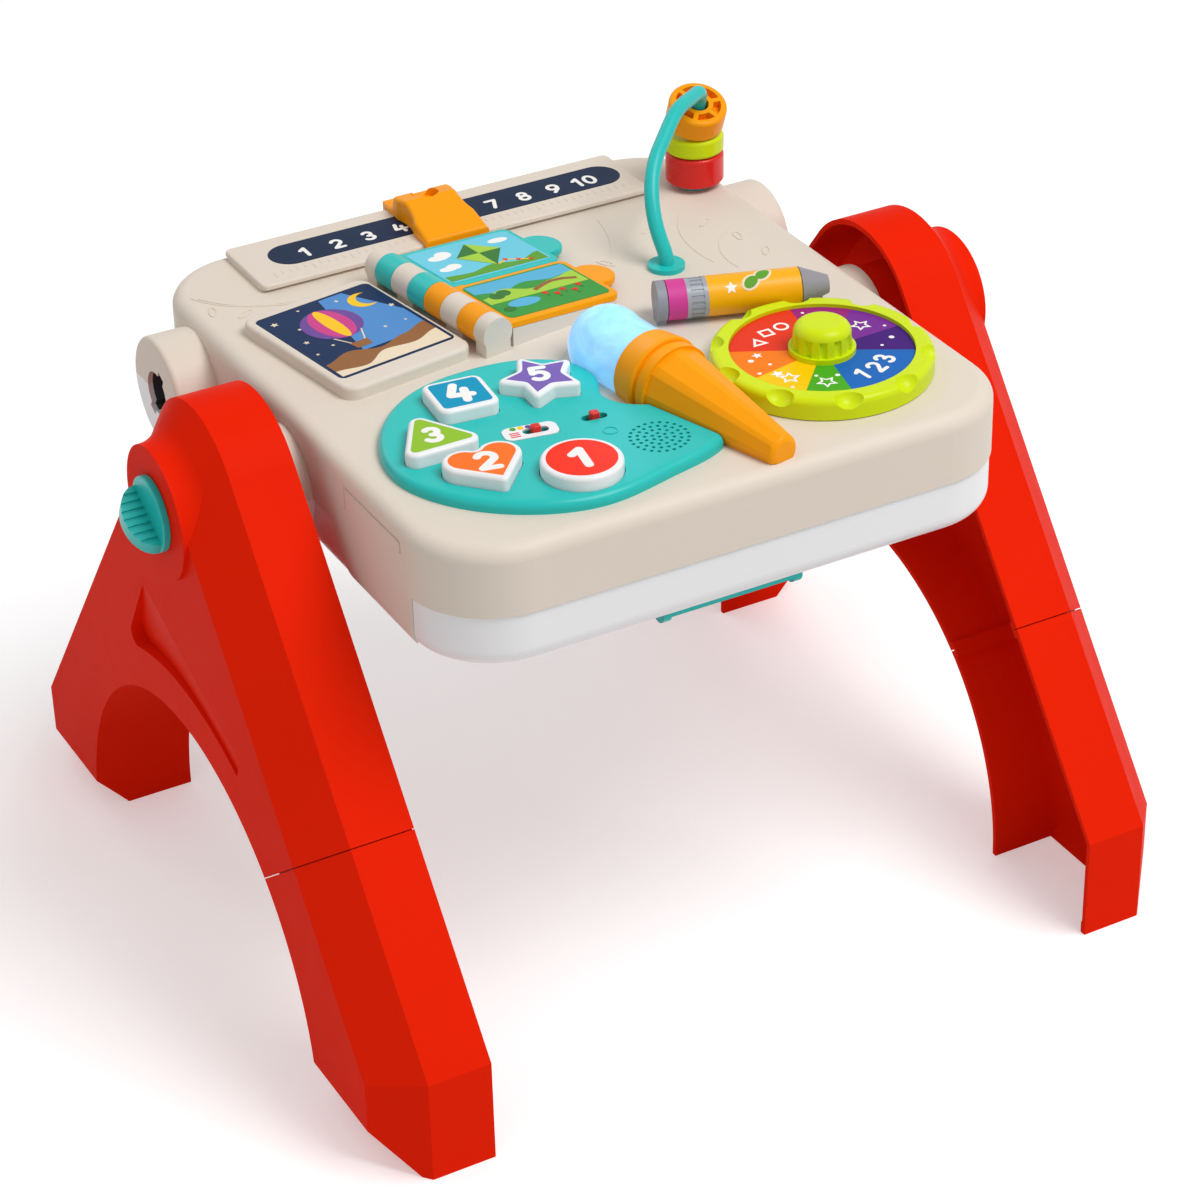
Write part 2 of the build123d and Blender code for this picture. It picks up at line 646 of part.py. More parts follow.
def legs():
    shell = leg_shell()
    frame = shell - split_slab(SPLIT_RUN - SPLIT_GAP / 2)
    lower = shell & split_slab(SPLIT_RUN + SPLIT_GAP / 2)
    lower += lower_lap()
    lower += lower_tongue()
    for name, side in SIDES.items():
        export_step(on_side(frame, side), f"parts/leg_frame_{name}.step")
        export_step(on_side(lower, side), f"parts/leg_lower_{name}.step")


def lock_knobs():
    face = BOSS_X + GAP
    disc = fillet(x_rod(KNOB_R, face, face + KNOB_T).edges().group_by(Axis.X)[-1], KNOB_T / 4)
    moon = Pos(face + KNOB_T, 0, 0) * Ellipse(FIN_REACH, FIN_R)
    moon &= Pos(face + KNOB_T, 0, 0) * Rectangle(FIN_R, 2 * FIN_R, align=(Align.MIN, Align.CENTER))
    fin = extrude(Pos(0, 0, -FIN_T) * moon, amount=FIN_T)
    for i in range(FIN_RIBS):
        y = (i - (FIN_RIBS - 1) / 2) * FIN_RIB_PITCH
        fin -= block(face + KNOB_T, face + KNOB_T + FIN_R + OVER, y - FIN_RIB_W / 2, y + FIN_RIB_W / 2,
                     -FIN_RIB_DEPTH, OVER)
    shaft = x_rod(KNOB_SHAFT_R, LUG_X, face)
    lugs = block(LUG_X, LUG_X + LUG_T, -LUG_R, LUG_R, -LUG_W / 2, LUG_W / 2)
    lugs &= x_rod(LUG_R, LUG_X, LUG_X + LUG_T)
    knob = Pos(0, 0, HUB_Z) * Rot(FIN_TILT, 0, 0) * (disc + fin + shaft + lugs)
    for name, side in SIDES.items():
        export_step(on_side(knob, side), f"parts/lock_knob_{name}.step")


# Table shells
def table_block(inset, z0, z1):
    outline = RectangleRounded(TABLE_W - 2 * inset, TABLE_D - 2 * inset, TABLE_CORNER_R - inset)
    return slab(outline, z0, z1)


def upper_block(inset, z0):
    body = table_block(inset, z0, TOP_Z - inset)
    return fillet(body.edges().group_by(Axis.Z)[-1], TOP_EDGE_R - inset)


def lower_block(inset, z1):
    body = table_block(inset, BOTTOM_Z + inset, z1)
    return fillet(body.edges().group_by(Axis.Z)[0], BOTTOM_EDGE_R - inset)


def tab_region(room):
    """Outline of a side tab in Y and Z, with an S-shaped rear edge."""
    y0, top, low = TAB_FRONT_Y - room, TAB_FRONT_Y + TAB_TOP_W + room, TAB_FRONT_Y + TAB_LOW_W + room
    middle = (top + low) / 2
    z0, z1 = BOTTOM_Z - OVER, SEAM_Z
    zm = (z0 + z1) / 2
    sway = (top - low) / 4
    upper = ThreePointArc((top, z1), ((top + middle) / 2 + sway / 2, (z1 + zm) / 2), (middle, zm))
    lower = ThreePointArc((middle, zm), ((low + middle) / 2 - sway / 2, (z0 + zm) / 2), (low, z0))
    rest = Polyline((low, z0), (y0, z0), (y0, z1), (top, z1))
    return make_face((upper + lower + rest).edges())


def side_tab(side):
    wall = lower_block(0, SEAM_Z) - lower_block(WALL, SEAM_Z + OVER)
    x = TABLE_W / 2
    return on_side(wall & on_side(side_slab(tab_region(0), x - WALL, x + OVER), 1), side)


def side_line(side):
    """Thin engraved line near the top of the side."""
    x0, x1 = TABLE_W / 2 - LINE_DEPTH, TABLE_W / 2 + OVER
    y0, y1 = LINE_FRONT_Y, LINE_FRONT_Y + LINE_L
    line = block(x0, x1, y0, y1, LINE_TOP_Z - LINE_W, LINE_TOP_Z)
    line += block(x0, x1, y1 - LINE_W, y1, LINE_TOP_Z - LINE_REAR_H, LINE_TOP_Z)
    line += block(x0, x1, y0, y0 + LINE_W, LINE_TOP_Z - LINE_FRONT_H, LINE_TOP_Z)
    return on_side(line, side)


def side_bosses(side):
    """Hub boss with its spigot, and the rear socket boss."""
    x0 = TABLE_W / 2 - 2 * WALL
    hub = x_rod(HUB_BOSS_R, x0, LEG_IN_X, 0, SEAM_Z) + x_rod(SPIGOT_R, x0, SPIGOT_X, 0, SEAM_Z)
    rear = x_rod(REAR_BOSS_R, x0, REAR_BOSS_X, REAR_BOSS_Y, SEAM_Z)
    rear = fillet(rear.edges().group_by(Axis.X)[-1], BOSS_EDGE_R)
    return on_side(hub, side) + on_side(rear, side)


def knob_bore(x0, x1, room=0):
    """Bore for the lock knob's shaft, with two keyways through which its lugs pass."""
    half_w, half_h = LUG_W / 2 + GAP + room, LUG_R + GAP + room
    keyways = block(x0, x1, -half_w, half_w, -half_h, half_h)
    return x_rod(BUSH_BORE_R + room, x0, x1) + Rot(FIN_TILT, 0, 0) * keyways


def bush_bores(side):
    bores = x_rod(BUSH_R + GAP, BUSH_IN_X, SPIGOT_X + OVER, 0, SEAM_Z)
    bores += x_rod(BUSH_R + GAP, BUSH_IN_X, REAR_BOSS_X - WALL, REAR_BOSS_Y, SEAM_Z)
    bores += Pos(0, REAR_BOSS_Y, SEAM_Z) * knob_bore(REAR_BOSS_X - 2 * WALL, REAR_BOSS_X + OVER, GAP)
    x0 = TABLE_W / 2 - 2 * WALL - OVER
    for y in (0, REAR_BOSS_Y):
        bores += x_rod(LUG_R + 2 * GAP, x0, BUSH_IN_X, y, SEAM_Z)
    return on_side(bores, side)


def screw_places():
    return [(sx * SCREW_X, sy * SCREW_Y) for sx in (-1, 1) for sy in (-1, 1)]


def ruler_bar():
    x = (RULER_X0 + RULER_X1) / 2
    y = (RULER_Y0 + RULER_Y1) / 2
    length, width = RULER_X1 - RULER_X0, RULER_Y1 - RULER_Y0
    plate_z = TOP_Z + RULER_FOOT
    foot = Pos(x, y) * RectangleRounded(length, width - 2 * RULER_UNDERCUT, RULER_CORNER_R)
    plate = Pos(x, y) * RectangleRounded(length, width, RULER_CORNER_R)
    top = slab(plate, plate_z, RULER_TOP_Z)
    bar = slab(foot, TOP_Z - WALL, plate_z) + fillet(top.edges().group_by(Axis.Z)[-1], RULER_EDGE_R)
    recess = Pos(STRIP_X, STRIP_Y) * SlotOverall(STRIP_L + 2 * GAP, STRIP_W + 2 * GAP)
    return bar - slab(recess, RULER_TOP_Z - STRIP_SINK, RULER_TOP_Z + OVER)


def spine_barrel(v0, v1):
    """A stretch of the hinge spine, drawn in the book's frame with the axis along its Y."""
    return Pos(0, v0, SPINE_H) * Rot(-90, 0, 0) * Cylinder(SPINE_R, v1 - v0, align=RISE)


def knuckle_span(index):
    v0 = SPINE_FRONT + index * KNUCKLE
    return v0 + KNUCKLE_GAP / 2, v0 + KNUCKLE - KNUCKLE_GAP / 2


def book_base():
    """Tray for the picture, sloping platform under the pages, end blocks and fixed knuckles."""
    tray_u, tray_v = (TRAY_LEFT + TRAY_RIGHT) / 2, (TRAY_FRONT + TRAY_REAR) / 2
    outline = RectangleRounded(TRAY_RIGHT - TRAY_LEFT, TRAY_REAR - TRAY_FRONT, TRAY_CORNER_R)
    tray = slab(Pos(tray_u, tray_v) * outline, -WALL, TRAY_H)
    tray = fillet(tray.edges().group_by(Axis.Z)[-1], TRAY_EDGE_R)
    seat = RectangleRounded(PICTURE_W + 2 * GAP, PICTURE_D + 2 * GAP, PICTURE_CORNER_R)
    tray -= slab(Pos(PICTURE_U, PICTURE_V) * seat, TRAY_H - PICTURE_T, TRAY_H + OVER)
    fall = tan(radians(PAGE_FALL))
    high, low = SPINE_H - PLATFORM_START * fall, SPINE_H - PLATFORM_END * fall
    wedge = make_face(Polyline((PLATFORM_START, -WALL), (PLATFORM_START, high), (PLATFORM_END, low),
                               (PLATFORM_END, -WALL), close=True))
    base = tray + Pos(0, PAGE_REAR, 0) * extrude(Plane.XZ * wedge, amount=PAGE_REAR - PAGE_FRONT)
    spans = [(SPINE_FRONT - SPINE_BLOCK, SPINE_FRONT), (SPINE_REAR, SPINE_REAR + SPINE_BLOCK)]
    for v0, v1 in spans:
        base += spine_barrel(v0, v1) + block(-BLOCK_W / 2, BLOCK_W / 2, v0, v1, -WALL, SPINE_H)
    for index in (1, KNUCKLES - 2):
        v0, v1 = knuckle_span(index)
        base += spine_barrel(v0, v1) + block(-KNUCKLE_WEB, KNUCKLE_WEB, v0, v1, -WALL, SPINE_H)
    hole = Pos(0, SPINE_FRONT - SPINE_BLOCK / 2, SPINE_H) * Rot(-90, 0, 0)
    base -= hole * Cylinder(PIN_R + RUN, SPINE_REAR - SPINE_FRONT + SPINE_BLOCK, align=RISE)
    return BOOK * base


def palette_outline(inset):
    width, depth = PALETTE_W - 2 * inset, PALETTE_D - 2 * inset
    points = [(PALETTE_X + a * width, PALETTE_Y + b * depth) for a, b in PALETTE_SHARES]
    return make_face(Spline(*points, periodic=True))


def posts(z0, z1, radius, hole_r, hole_z0, hole_z1):
    body, holes = [], []
    for x, y in screw_places():
        body.append(z_rod(radius, z0, z1, x, y))
        holes.append(z_rod(hole_r, hole_z0, hole_z1, x, y))
    return body, holes


def upper_shell():
    shell = upper_block(0, SEAM_Z) - upper_block(WALL, SEAM_Z - OVER)
    shell += ruler_bar()
    shell += book_base()
    body, holes = posts(SEAM_Z, TOP_Z - WALL, POST_R, SCREW_R + GAP / 2, SEAM_Z - OVER, SEAM_Z + SCREW_LENGTH)
    shell += body
    shell -= holes
    shell += z_rod(DIAL_COLLAR_R, TOP_Z - DIAL_COLLAR, TOP_Z - WALL, DIAL_X, DIAL_Y)
    shell -= z_rod(DIAL_SPINDLE_R + RUN, TOP_Z - DIAL_COLLAR - OVER, TOP_Z + OVER, DIAL_X, DIAL_Y)
    for x, y in (ROD_FRONT, ROD_REAR):
        shell -= z_rod(ROD_R + GAP, TOP_Z - WALL - OVER, TOP_Z + OVER, x, y)
    window = palette_outline(PALETTE_LEDGE) - brush_footprint(PALETTE_LEDGE)
    shell -= slab(window, TOP_Z - WALL - OVER, TOP_Z + OVER)
    for shape in BUTTON_PLACES:
        room = button_place(shape) * button_outline(shape, -BUTTON_FLANGE - BUTTON_SIDE_GAP)
        shell -= slab(room, TOP_Z - WALL - OVER, TOP_Z + OVER)
    shell -= z_rod(LIGHT_PLATE_R + GAP, TOP_Z - WALL - OVER, TOP_Z + OVER, BRUSH_X, BRUSH_Y)
    for side in SIDES.values():
        shell += above(side_bosses(side), SEAM_Z)
        shell += side_tab(side)
        shell -= bush_bores(side)
        shell -= side_line(side)
    export_step(shell, "parts/upper_shell.step")


def battery_box():
    """Closed box over the cells, open to the table's underside."""
    x, y = BOX_LENGTH / 2 + BOX_WALL, BOX_WIDTH / 2 + BOX_WALL
    return block(-x, x, BOX_Y - y, BOX_Y + y, BOTTOM_Z + WALL, BOX_TOP_Z + BOX_WALL)


def box_hollow():
    x, y = BOX_LENGTH / 2, BOX_WIDTH / 2
    return block(-x, x, BOX_Y - y, BOX_Y + y, BOTTOM_Z - OVER, BOX_TOP_Z)


def door_outline(room):
    length = BOX_LENGTH + 2 * DOOR_RIM + DOOR_TONGUE + 2 * room
    width = BOX_WIDTH + 2 * DOOR_RIM + 2 * room
    return Pos(DOOR_TONGUE / 2, BOX_Y) * RectangleRounded(length, width, DOOR_RIM)


def door_screw_x():
    return BOX_LENGTH / 2 + DOOR_RIM + DOOR_TONGUE / 2


def lower_shell():
    shell = lower_block(LOWER_STEP, SEAM_Z) - lower_block(LOWER_STEP + WALL, SEAM_Z + OVER)
    body, holes = posts(BOTTOM_Z + WALL, SEAM_Z, POST_R, SCREW_R + GAP / 2, BOTTOM_Z - OVER, SEAM_Z + OVER)
    shell += body
    shell += battery_box()
    shell += z_rod(DOOR_POST_R, BOTTOM_Z + WALL, BOTTOM_Z + DOOR_SCREW_LENGTH + WALL, door_screw_x(), BOX_Y)
    shell -= holes
    for x, y in screw_places():
        shell -= z_rod(SCREW_HEAD_R + GAP, BOTTOM_Z - OVER, SEAM_Z - POST_FLOOR, x, y)
    shell -= box_hollow()
    shell -= slab(door_outline(GAP), BOTTOM_Z - OVER, BOTTOM_Z + LOWER_STEP + DOOR_T)
    screw_top = BOTTOM_Z + DOOR_SCREW_LENGTH + WALL / 2
    shell -= z_rod(DOOR_SCREW_R + GAP / 2, BOTTOM_Z, screw_top, door_screw_x(), BOX_Y)
    peg_y = LEDGE_Y + LEDGE_D / 2
    for x in (-LEDGE_PEG_X, LEDGE_PEG_X):
        shell -= z_rod(LEDGE_PEG_R + GAP, BOTTOM_Z - OVER, BOTTOM_Z + LEDGE_PEG + OVER, x, peg_y)
    for side in SIDES.values():
        shell += below(side_bosses(side), SEAM_Z)
        shell -= bush_bores(side)
        shell -= on_side(side_slab(tab_region(GAP), TABLE_W / 2 - WALL - GAP, TABLE_W / 2 + OVER), side)
    export_step(shell, "parts/lower_shell.step")


def bush(x1, y):
    outer = x_rod(BUSH_R, BUSH_IN_X, x1, y, SEAM_Z)
    return outer - Pos(0, y, SEAM_Z) * knob_bore(BUSH_IN_X - OVER, x1 + OVER)


def bushes():
    for name, side in SIDES.items():
        export_step(on_side(bush(REAR_BOSS_X - WALL, REAR_BOSS_Y), side), f"parts/socket_bush_{name}.step")
        export_step(on_side(bush(SPIGOT_X, 0), side), f"parts/hub_bush_{name}.step")


def case_screws():
    head_z = SEAM_Z - POST_FLOOR
    screws = []
    for x, y in screw_places():
        head = z_rod(SCREW_HEAD_R, head_z - SCREW_HEAD_H, head_z, x, y)
        screws.append(head + z_rod(SCREW_R, head_z, SEAM_Z + SCREW_LENGTH - OVER, x, y))
    export_step(Compound(screws), "parts/case_screws.step")


def battery_parts():
    cells, contacts = [], []
    x0 = -(CELL_LENGTH + CELL_NUB) / 2
    z = BOX_FLOOR_Z + CELL_R + BOX_ROOM
    for i in range(CELL_COUNT):
        y = BOX_Y + (i - (CELL_COUNT - 1) / 2) * CELL_PITCH
        turn = 180 * (i % 2)
        end = x0 + CELL_LENGTH
        cell = x_rod(CELL_R, x0, end) + x_rod(CELL_NUB_R, end, end + CELL_NUB)
        cells.append(Pos(0, y, z) * Rot(0, 0, turn) * cell)
        for side in SIDES.values():
            inner = side * (BOX_LENGTH / 2 - BOX_ROOM - CONTACT_T)
            outer = side * BOX_LENGTH / 2
            contacts.append(block(min(inner, outer), max(inner, outer), y - CONTACT_W / 2, y + CONTACT_W / 2,
                                  z - CONTACT_W / 2, z + CONTACT_W / 2))
    export_step(Compound(cells), "parts/battery_cells.step")
    export_step(Compound(contacts), "parts/battery_contacts.step")
    door = slab(door_outline(0), BOTTOM_Z + LOWER_STEP, BOTTOM_Z + LOWER_STEP + DOOR_T)
    x = door_screw_x()
    low = BOTTOM_Z + LOWER_STEP
    door -= z_rod(DOOR_SCREW_R + GAP, low - OVER, low + DOOR_T + OVER, x, BOX_Y)
    door -= z_rod(DOOR_SCREW_HEAD_R + GAP, low - OVER, low + DOOR_SCREW_HEAD_H, x, BOX_Y)
    export_step(door, "parts/battery_door.step")
    screw = z_rod(DOOR_SCREW_HEAD_R, low, low + DOOR_SCREW_HEAD_H, x, BOX_Y)
    screw += z_rod(DOOR_SCREW_R, low, low + DOOR_SCREW_LENGTH, x, BOX_Y)
    export_step(screw, "parts/battery_door_screw.step")


def paper_ledge():
    top = BOTTOM_Z + LOWER_STEP
    plate = block(-LEDGE_W / 2, LEDGE_W / 2, LEDGE_Y, LEDGE_Y + LEDGE_D, top - LEDGE_T, top)
    front = block(-LEDGE_W / 2, LEDGE_W / 2, LEDGE_Y, LEDGE_Y + LEDGE_T, top - LEDGE_T - LEDGE_DROP, top)
    ledge = plate + front
    round_r = LEDGE_EAR_H / 2
    low = top - LEDGE_EAR_H + round_r
    profile = Pos(LEDGE_Y + round_r, low) * Circle(round_r)
    profile += Pos(LEDGE_Y, low) * Rectangle(2 * round_r, round_r, align=(Align.MIN, Align.MIN))
    for x in (-LEDGE_W / 2, LEDGE_W / 2 - LEDGE_EAR_W):
        ledge += side_slab(profile, x, x + LEDGE_EAR_W)
    for x in (-LEDGE_PEG_X, LEDGE_PEG_X):
        ledge += z_rod(LEDGE_PEG_R, top, top + LEDGE_PEG, x, LEDGE_Y + LEDGE_D / 2)
    export_step(ledge, "parts/paper_ledge.step")


# Ruler
def number_strip():
    outline = Pos(STRIP_X, STRIP_Y) * SlotOverall(STRIP_L, STRIP_W)
    z = RULER_TOP_Z - STRIP_SINK
    export_step(slab(outline, z, z + STRIP_T), "parts/number_strip.step")


def slider():
    """Sharpener-shaped slider that grips the ruler bar's overhanging edges."""
    y0, y1 = RULER_Y0 - SLIDER_ROOM - SLIDER_SKIRT, RULER_Y1 + SLIDER_ROOM + SLIDER_SKIRT
    low, bar = TOP_Z + SLIDER_ROOM, RULER_TOP_Z
    depth = y1 - y0
    shares = (SLIDER_TOP_FRONT_SHARE, SLIDER_TOP_REAR_SHARE, SLIDER_STEP_SHARE)
    crest, rear, step = (y0 + share * depth for share in shares)
    corners = ((y0, low), (y0, bar + SLIDER_FRONT_H), (crest, bar + SLIDER_TOP_H),
               (rear, bar + SLIDER_REAR_H), (step, bar + SLIDER_BACK_H), (y1, bar + SLIDER_BACK_H), (y1, low))
    profile = make_face(Polyline(*corners, close=True))
    body = side_slab(profile, SLIDER_X - SLIDER_W / 2, SLIDER_X + SLIDER_W / 2)
    front, back = SLIDER_W / 2, SLIDER_TAPER_SHARE * SLIDER_W / 2
    plan = make_face(Polyline((-front, y0), (front, y0), (back, y1), (-back, y1), close=True))
    body &= slab(Pos(SLIDER_X, 0) * plan, low, bar + SLIDER_TOP_H)
    waist_y = (y0 + y1) / 2
    reach = SLIDER_W / 2 + SLIDER_WAIST_R - SLIDER_WAIST
    for side in SIDES.values():
        body -= z_rod(SLIDER_WAIST_R, low - OVER, bar + SLIDER_TOP_H + OVER, SLIDER_X + side * reach, waist_y)
    lowest = bar + SLIDER_BACK_H + SLIDER_ROOM / 2
    body = fillet(body.edges().filter_by(lambda e: e.center().Z > lowest), SLIDER_EDGE_R)
    hole_y = y0 + SLIDER_HOLE_SHARE * depth
    top = bar + SLIDER_TOP_H
    body -= z_rod(SLIDER_HOLE_R, top - SLIDER_HOLE_DEPTH, top + OVER, SLIDER_X, hole_y)
    x0, x1 = SLIDER_X - SLIDER_W, SLIDER_X + SLIDER_W
    body -= block(x0, x1, RULER_Y0 - SLIDER_ROOM, RULER_Y1 + SLIDER_ROOM, TOP_Z + SLIDER_ROOM + SLIDER_LIP,
                  bar + SLIDER_ROOM)
    inset = RULER_UNDERCUT - SLIDER_ROOM
    body -= block(x0, x1, RULER_Y0 + inset, RULER_Y1 - inset, TOP_Z, bar)
    export_step(body, "parts/slider.step")


# Book
def picture_panel():
    outline = Pos(PICTURE_U, PICTURE_V) * RectangleRounded(PICTURE_W, PICTURE_D, PICTURE_CORNER_R)
    export_step(BOOK * slab(outline, TRAY_H - PICTURE_T, TRAY_H), "parts/picture_panel.step")


def page(name, v0, v1, tab_v, knuckles):
    """A flip page, drawn with its axis along Y and its plate level."""
    inner = SPINE_R / 2
    plate = Pos(inner, v0) * Rectangle(PAGE_W - inner, v1 - v0, align=(Align.MIN, Align.MIN))
    outer = plate.vertices().group_by(Axis.X)[-1]
    plate = fillet(outer, PAGE_CORNER_R)
    outline = plate + Pos(TAB_REACH - TAB_R, tab_v) * Circle(TAB_R)
    outline += Pos(PAGE_W - TAB_R, tab_v) * Rectangle(TAB_R, 2 * TAB_R)
    body = slab(outline, GAP, GAP + PAGE_T)
    body = fillet(body.edges().group_by(Axis.Z)[-1].filter_by(lambda e: e.center().X > SPINE_R), PAGE_EDGE_R)
    swept = Cylinder(SPINE_R + KNUCKLE_GAP, v1 - v0 + 2 * OVER, align=RISE)
    body -= Pos(0, v0 - OVER, 0) * Rot(-90, 0, 0) * swept
    for index in knuckles:
        a, b = knuckle_span(index)
        barrel = Pos(0, a, 0) * Rot(-90, 0, 0) * Cylinder(SPINE_R, b - a, align=RISE)
        body += barrel + block(0, SPINE_R + 2 * PAGE_T, a, b, GAP, GAP + PAGE_T)
    bore = Pos(0, v0 - SPAN / 2, 0) * Rot(-90, 0, 0) * Cylinder(PIN_R + RUN, SPAN, align=RISE)
    body -= bore
    length, depth = PAGE_W - PRINT_START - PRINT_RIM, v1 - v0 - 2 * PRINT_RIM
    sheet = Pos(PRINT_START, v0 + PRINT_RIM) * Rectangle(length, depth, align=(Align.MIN, Align.MIN))
    sheet = fillet(sheet.vertices(), PRINT_RIM)
    top = GAP + PAGE_T
    body -= slab(sheet, top - PRINT_T / 2, top + OVER)
    export_step(PAGES * body, f"parts/page_{name}.step")
    export_step(PAGES * slab(sheet, top - PRINT_T / 2, top + PRINT_T / 2), f"parts/page_{name}_print.step")


def pages():
    middle = SPINE_FRONT + KNUCKLES / 2 * KNUCKLE
    page("front", PAGE_FRONT, middle - KNUCKLE_GAP / 2, FRONT_TAB, (0, 2))
    page("rear", middle + KNUCKLE_GAP / 2, PAGE_REAR, REAR_TAB, (KNUCKLES - 3, KNUCKLES - 1))
    length = SPINE_REAR - SPINE_FRONT + SPINE_BLOCK - 2 * GAP
    start = Pos(0, SPINE_FRONT - SPINE_BLOCK / 2 + GAP, SPINE_H) * Rot(-90, 0, 0)
    export_step(BOOK * start * Cylinder(PIN_R, length, align=RISE), "parts/page_pin.step")


# Bead rod
def rod_frame():
    """Frame at the rod's front foot, with X along the line to its rear foot."""
    dx, dy = ROD_REAR[0] - ROD_FRONT[0], ROD_REAR[1] - ROD_FRONT[1]
    return Location((*ROD_FRONT, TOP_Z), (0, 0, degrees(atan2(dy, dx)))), hypot(dx, dy)


def bead_rod():
    frame, span = rod_frame()
    low = -WALL - ROD_TAIL
    points = ((0, 0, low), (0, 0, ROD_FLANGE_H + ROD_R), (ROD_BOW_ALONG, ROD_BOW_LEFT, ROD_BOW_H),
              (ROD_CREST_ALONG, ROD_CREST_LEFT, ROD_CREST_H), (ROD_TOP_ALONG, ROD_TOP_LEFT, ROD_TOP_H),
              (span, 0, ROD_BEND_H), (span, 0, low))
    path = FilletPolyline(*points, radius=(ROD_BOW_LEFT, *ROD_BEND_RADII))
    rod = sweep(Plane.XY.offset(low) * Circle(ROD_R), path=path)
    for along in (0, span):
        rod += z_rod(ROD_FLANGE_R, 0, ROD_FLANGE_H, along, 0)
    export_step(frame * rod, "parts/bead_rod.step")


def bead(height):
    ring = z_rod(BEAD_R, 0, height)
    ring = fillet(ring.edges(), BEAD_EDGE_R)
    return ring - z_rod(BEAD_BORE_R, -OVER, height + OVER)


def spoked_bead(height):
    body = bead(height)
    ring = Circle(BEAD_R - BEAD_RIM) - Circle(BEAD_HUB_R)
    for i in range(BEAD_SPOKES):
        turn = i * 360 / BEAD_SPOKES
        ring -= Rot(0, 0, turn) * Rectangle(BEAD_R, BEAD_SPOKE_W, align=(Align.MIN, Align.CENTER))
    return body - slab(ring, height - BEAD_RECESS, height + OVER)


def beads():
    frame, span = rod_frame()
    z = ROD_FLANGE_H + BEAD_GAP
    foot = frame * Pos(span, 0, 0)
    export_step(foot * Pos(0, 0, z) * bead(BEAD_RED_H), "parts/bead_red.step")
    z += BEAD_RED_H + BEAD_GAP
    export_step(foot * Pos(0, 0, z) * bead(BEAD_LIME_H), "parts/bead_lime.step")
    z += BEAD_LIME_H + BEAD_GAP
    axis = Vector(ROD_TOP_ALONG - span, ROD_TOP_LEFT, ROD_TOP_H - ROD_BEND_H).normalized()
    low = z + (BEAD_R - BEAD_EDGE_R) * hypot(axis.X, axis.Y) + BEAD_EDGE_R * (1 - axis.Z)
    start = Vector(span, 0, ROD_BEND_H) + axis * ((low - ROD_BEND_H) / axis.Z)
    lean = Plane(start, z_dir=axis).location
    export_step(frame * lean * spoked_bead(BEAD_ORANGE_H), "parts/bead_orange.step")


# Pencil roller
def pencil():
    x = -PENCIL_LENGTH / 2
    cap_end = x + PENCIL_CAP
    eraser_end = cap_end + PENCIL_ERASER
    ferrule_end = eraser_end + PENCIL_FERRULE
    barrel_end = ferrule_end + PENCIL_BARREL
    tip_end = barrel_end + PENCIL_TIP
    floor = block(-SPAN, SPAN, -SPAN, SPAN, -SPAN, -PENCIL_H)
    cap = x_rod(PENCIL_R, x, cap_end) + block(x, cap_end, -PENCIL_R / 2, PENCIL_R / 2, -PENCIL_H, 0)
    bore = x_rod(PENCIL_AXLE_R + RUN, x + PENCIL_CAP / 2, barrel_end + PENCIL_TIP / 2)
    export_step(PENCIL * (cap - bore), "parts/pencil_cap.step")
    tip = turned(((barrel_end, 0), (barrel_end, PENCIL_R), (tip_end, PENCIL_TIP_R), (tip_end, 0)))
    foot = block(barrel_end, tip_end - PENCIL_TIP / 4, -PENCIL_TIP_R, PENCIL_TIP_R, -PENCIL_H, 0)
    export_step(PENCIL * (tip + foot - floor - bore), "parts/pencil_tip.step")
    eraser = x_rod(PENCIL_R, cap_end + PENCIL_JOINT, eraser_end) - bore
    export_step(PENCIL * eraser, "parts/pencil_eraser.step")
    export_step(PENCIL * (ferrule(eraser_end, ferrule_end) - bore), "parts/pencil_ferrule.step")
    barrel = x_rod(PENCIL_R, ferrule_end, barrel_end - PENCIL_JOINT) - bore
    export_step(PENCIL * barrel, "parts/pencil_barrel.step")
    axle = x_rod(PENCIL_AXLE_R, x + PENCIL_CAP / 2 + GAP, barrel_end + PENCIL_TIP / 2 - GAP)
    export_step(PENCIL * axle, "parts/pencil_axle.step")


def ferrule(x0, x1):
    """Metal band with two smooth rims and fine ridges along the axis between them."""
    rim = FERRULE_BAND_SHARE * (x1 - x0)
    core = x_rod(PENCIL_R - FERRULE_RIDGE, x0, x1)
    band = x_rod(PENCIL_R, x0, x0 + rim) + x_rod(PENCIL_R, x1 - rim, x1)
    pitch = 360 / FERRULE_RIDGES
    width = PENCIL_R * radians(pitch) / 2
    ridge = block(x0, x1, -width / 2, width / 2, PENCIL_R - 2 * FERRULE_RIDGE, PENCIL_R - FERRULE_RIDGE / 4)
    return core + band + [Rot(i * pitch, 0, 0) * ridge for i in range(FERRULE_RIDGES)]


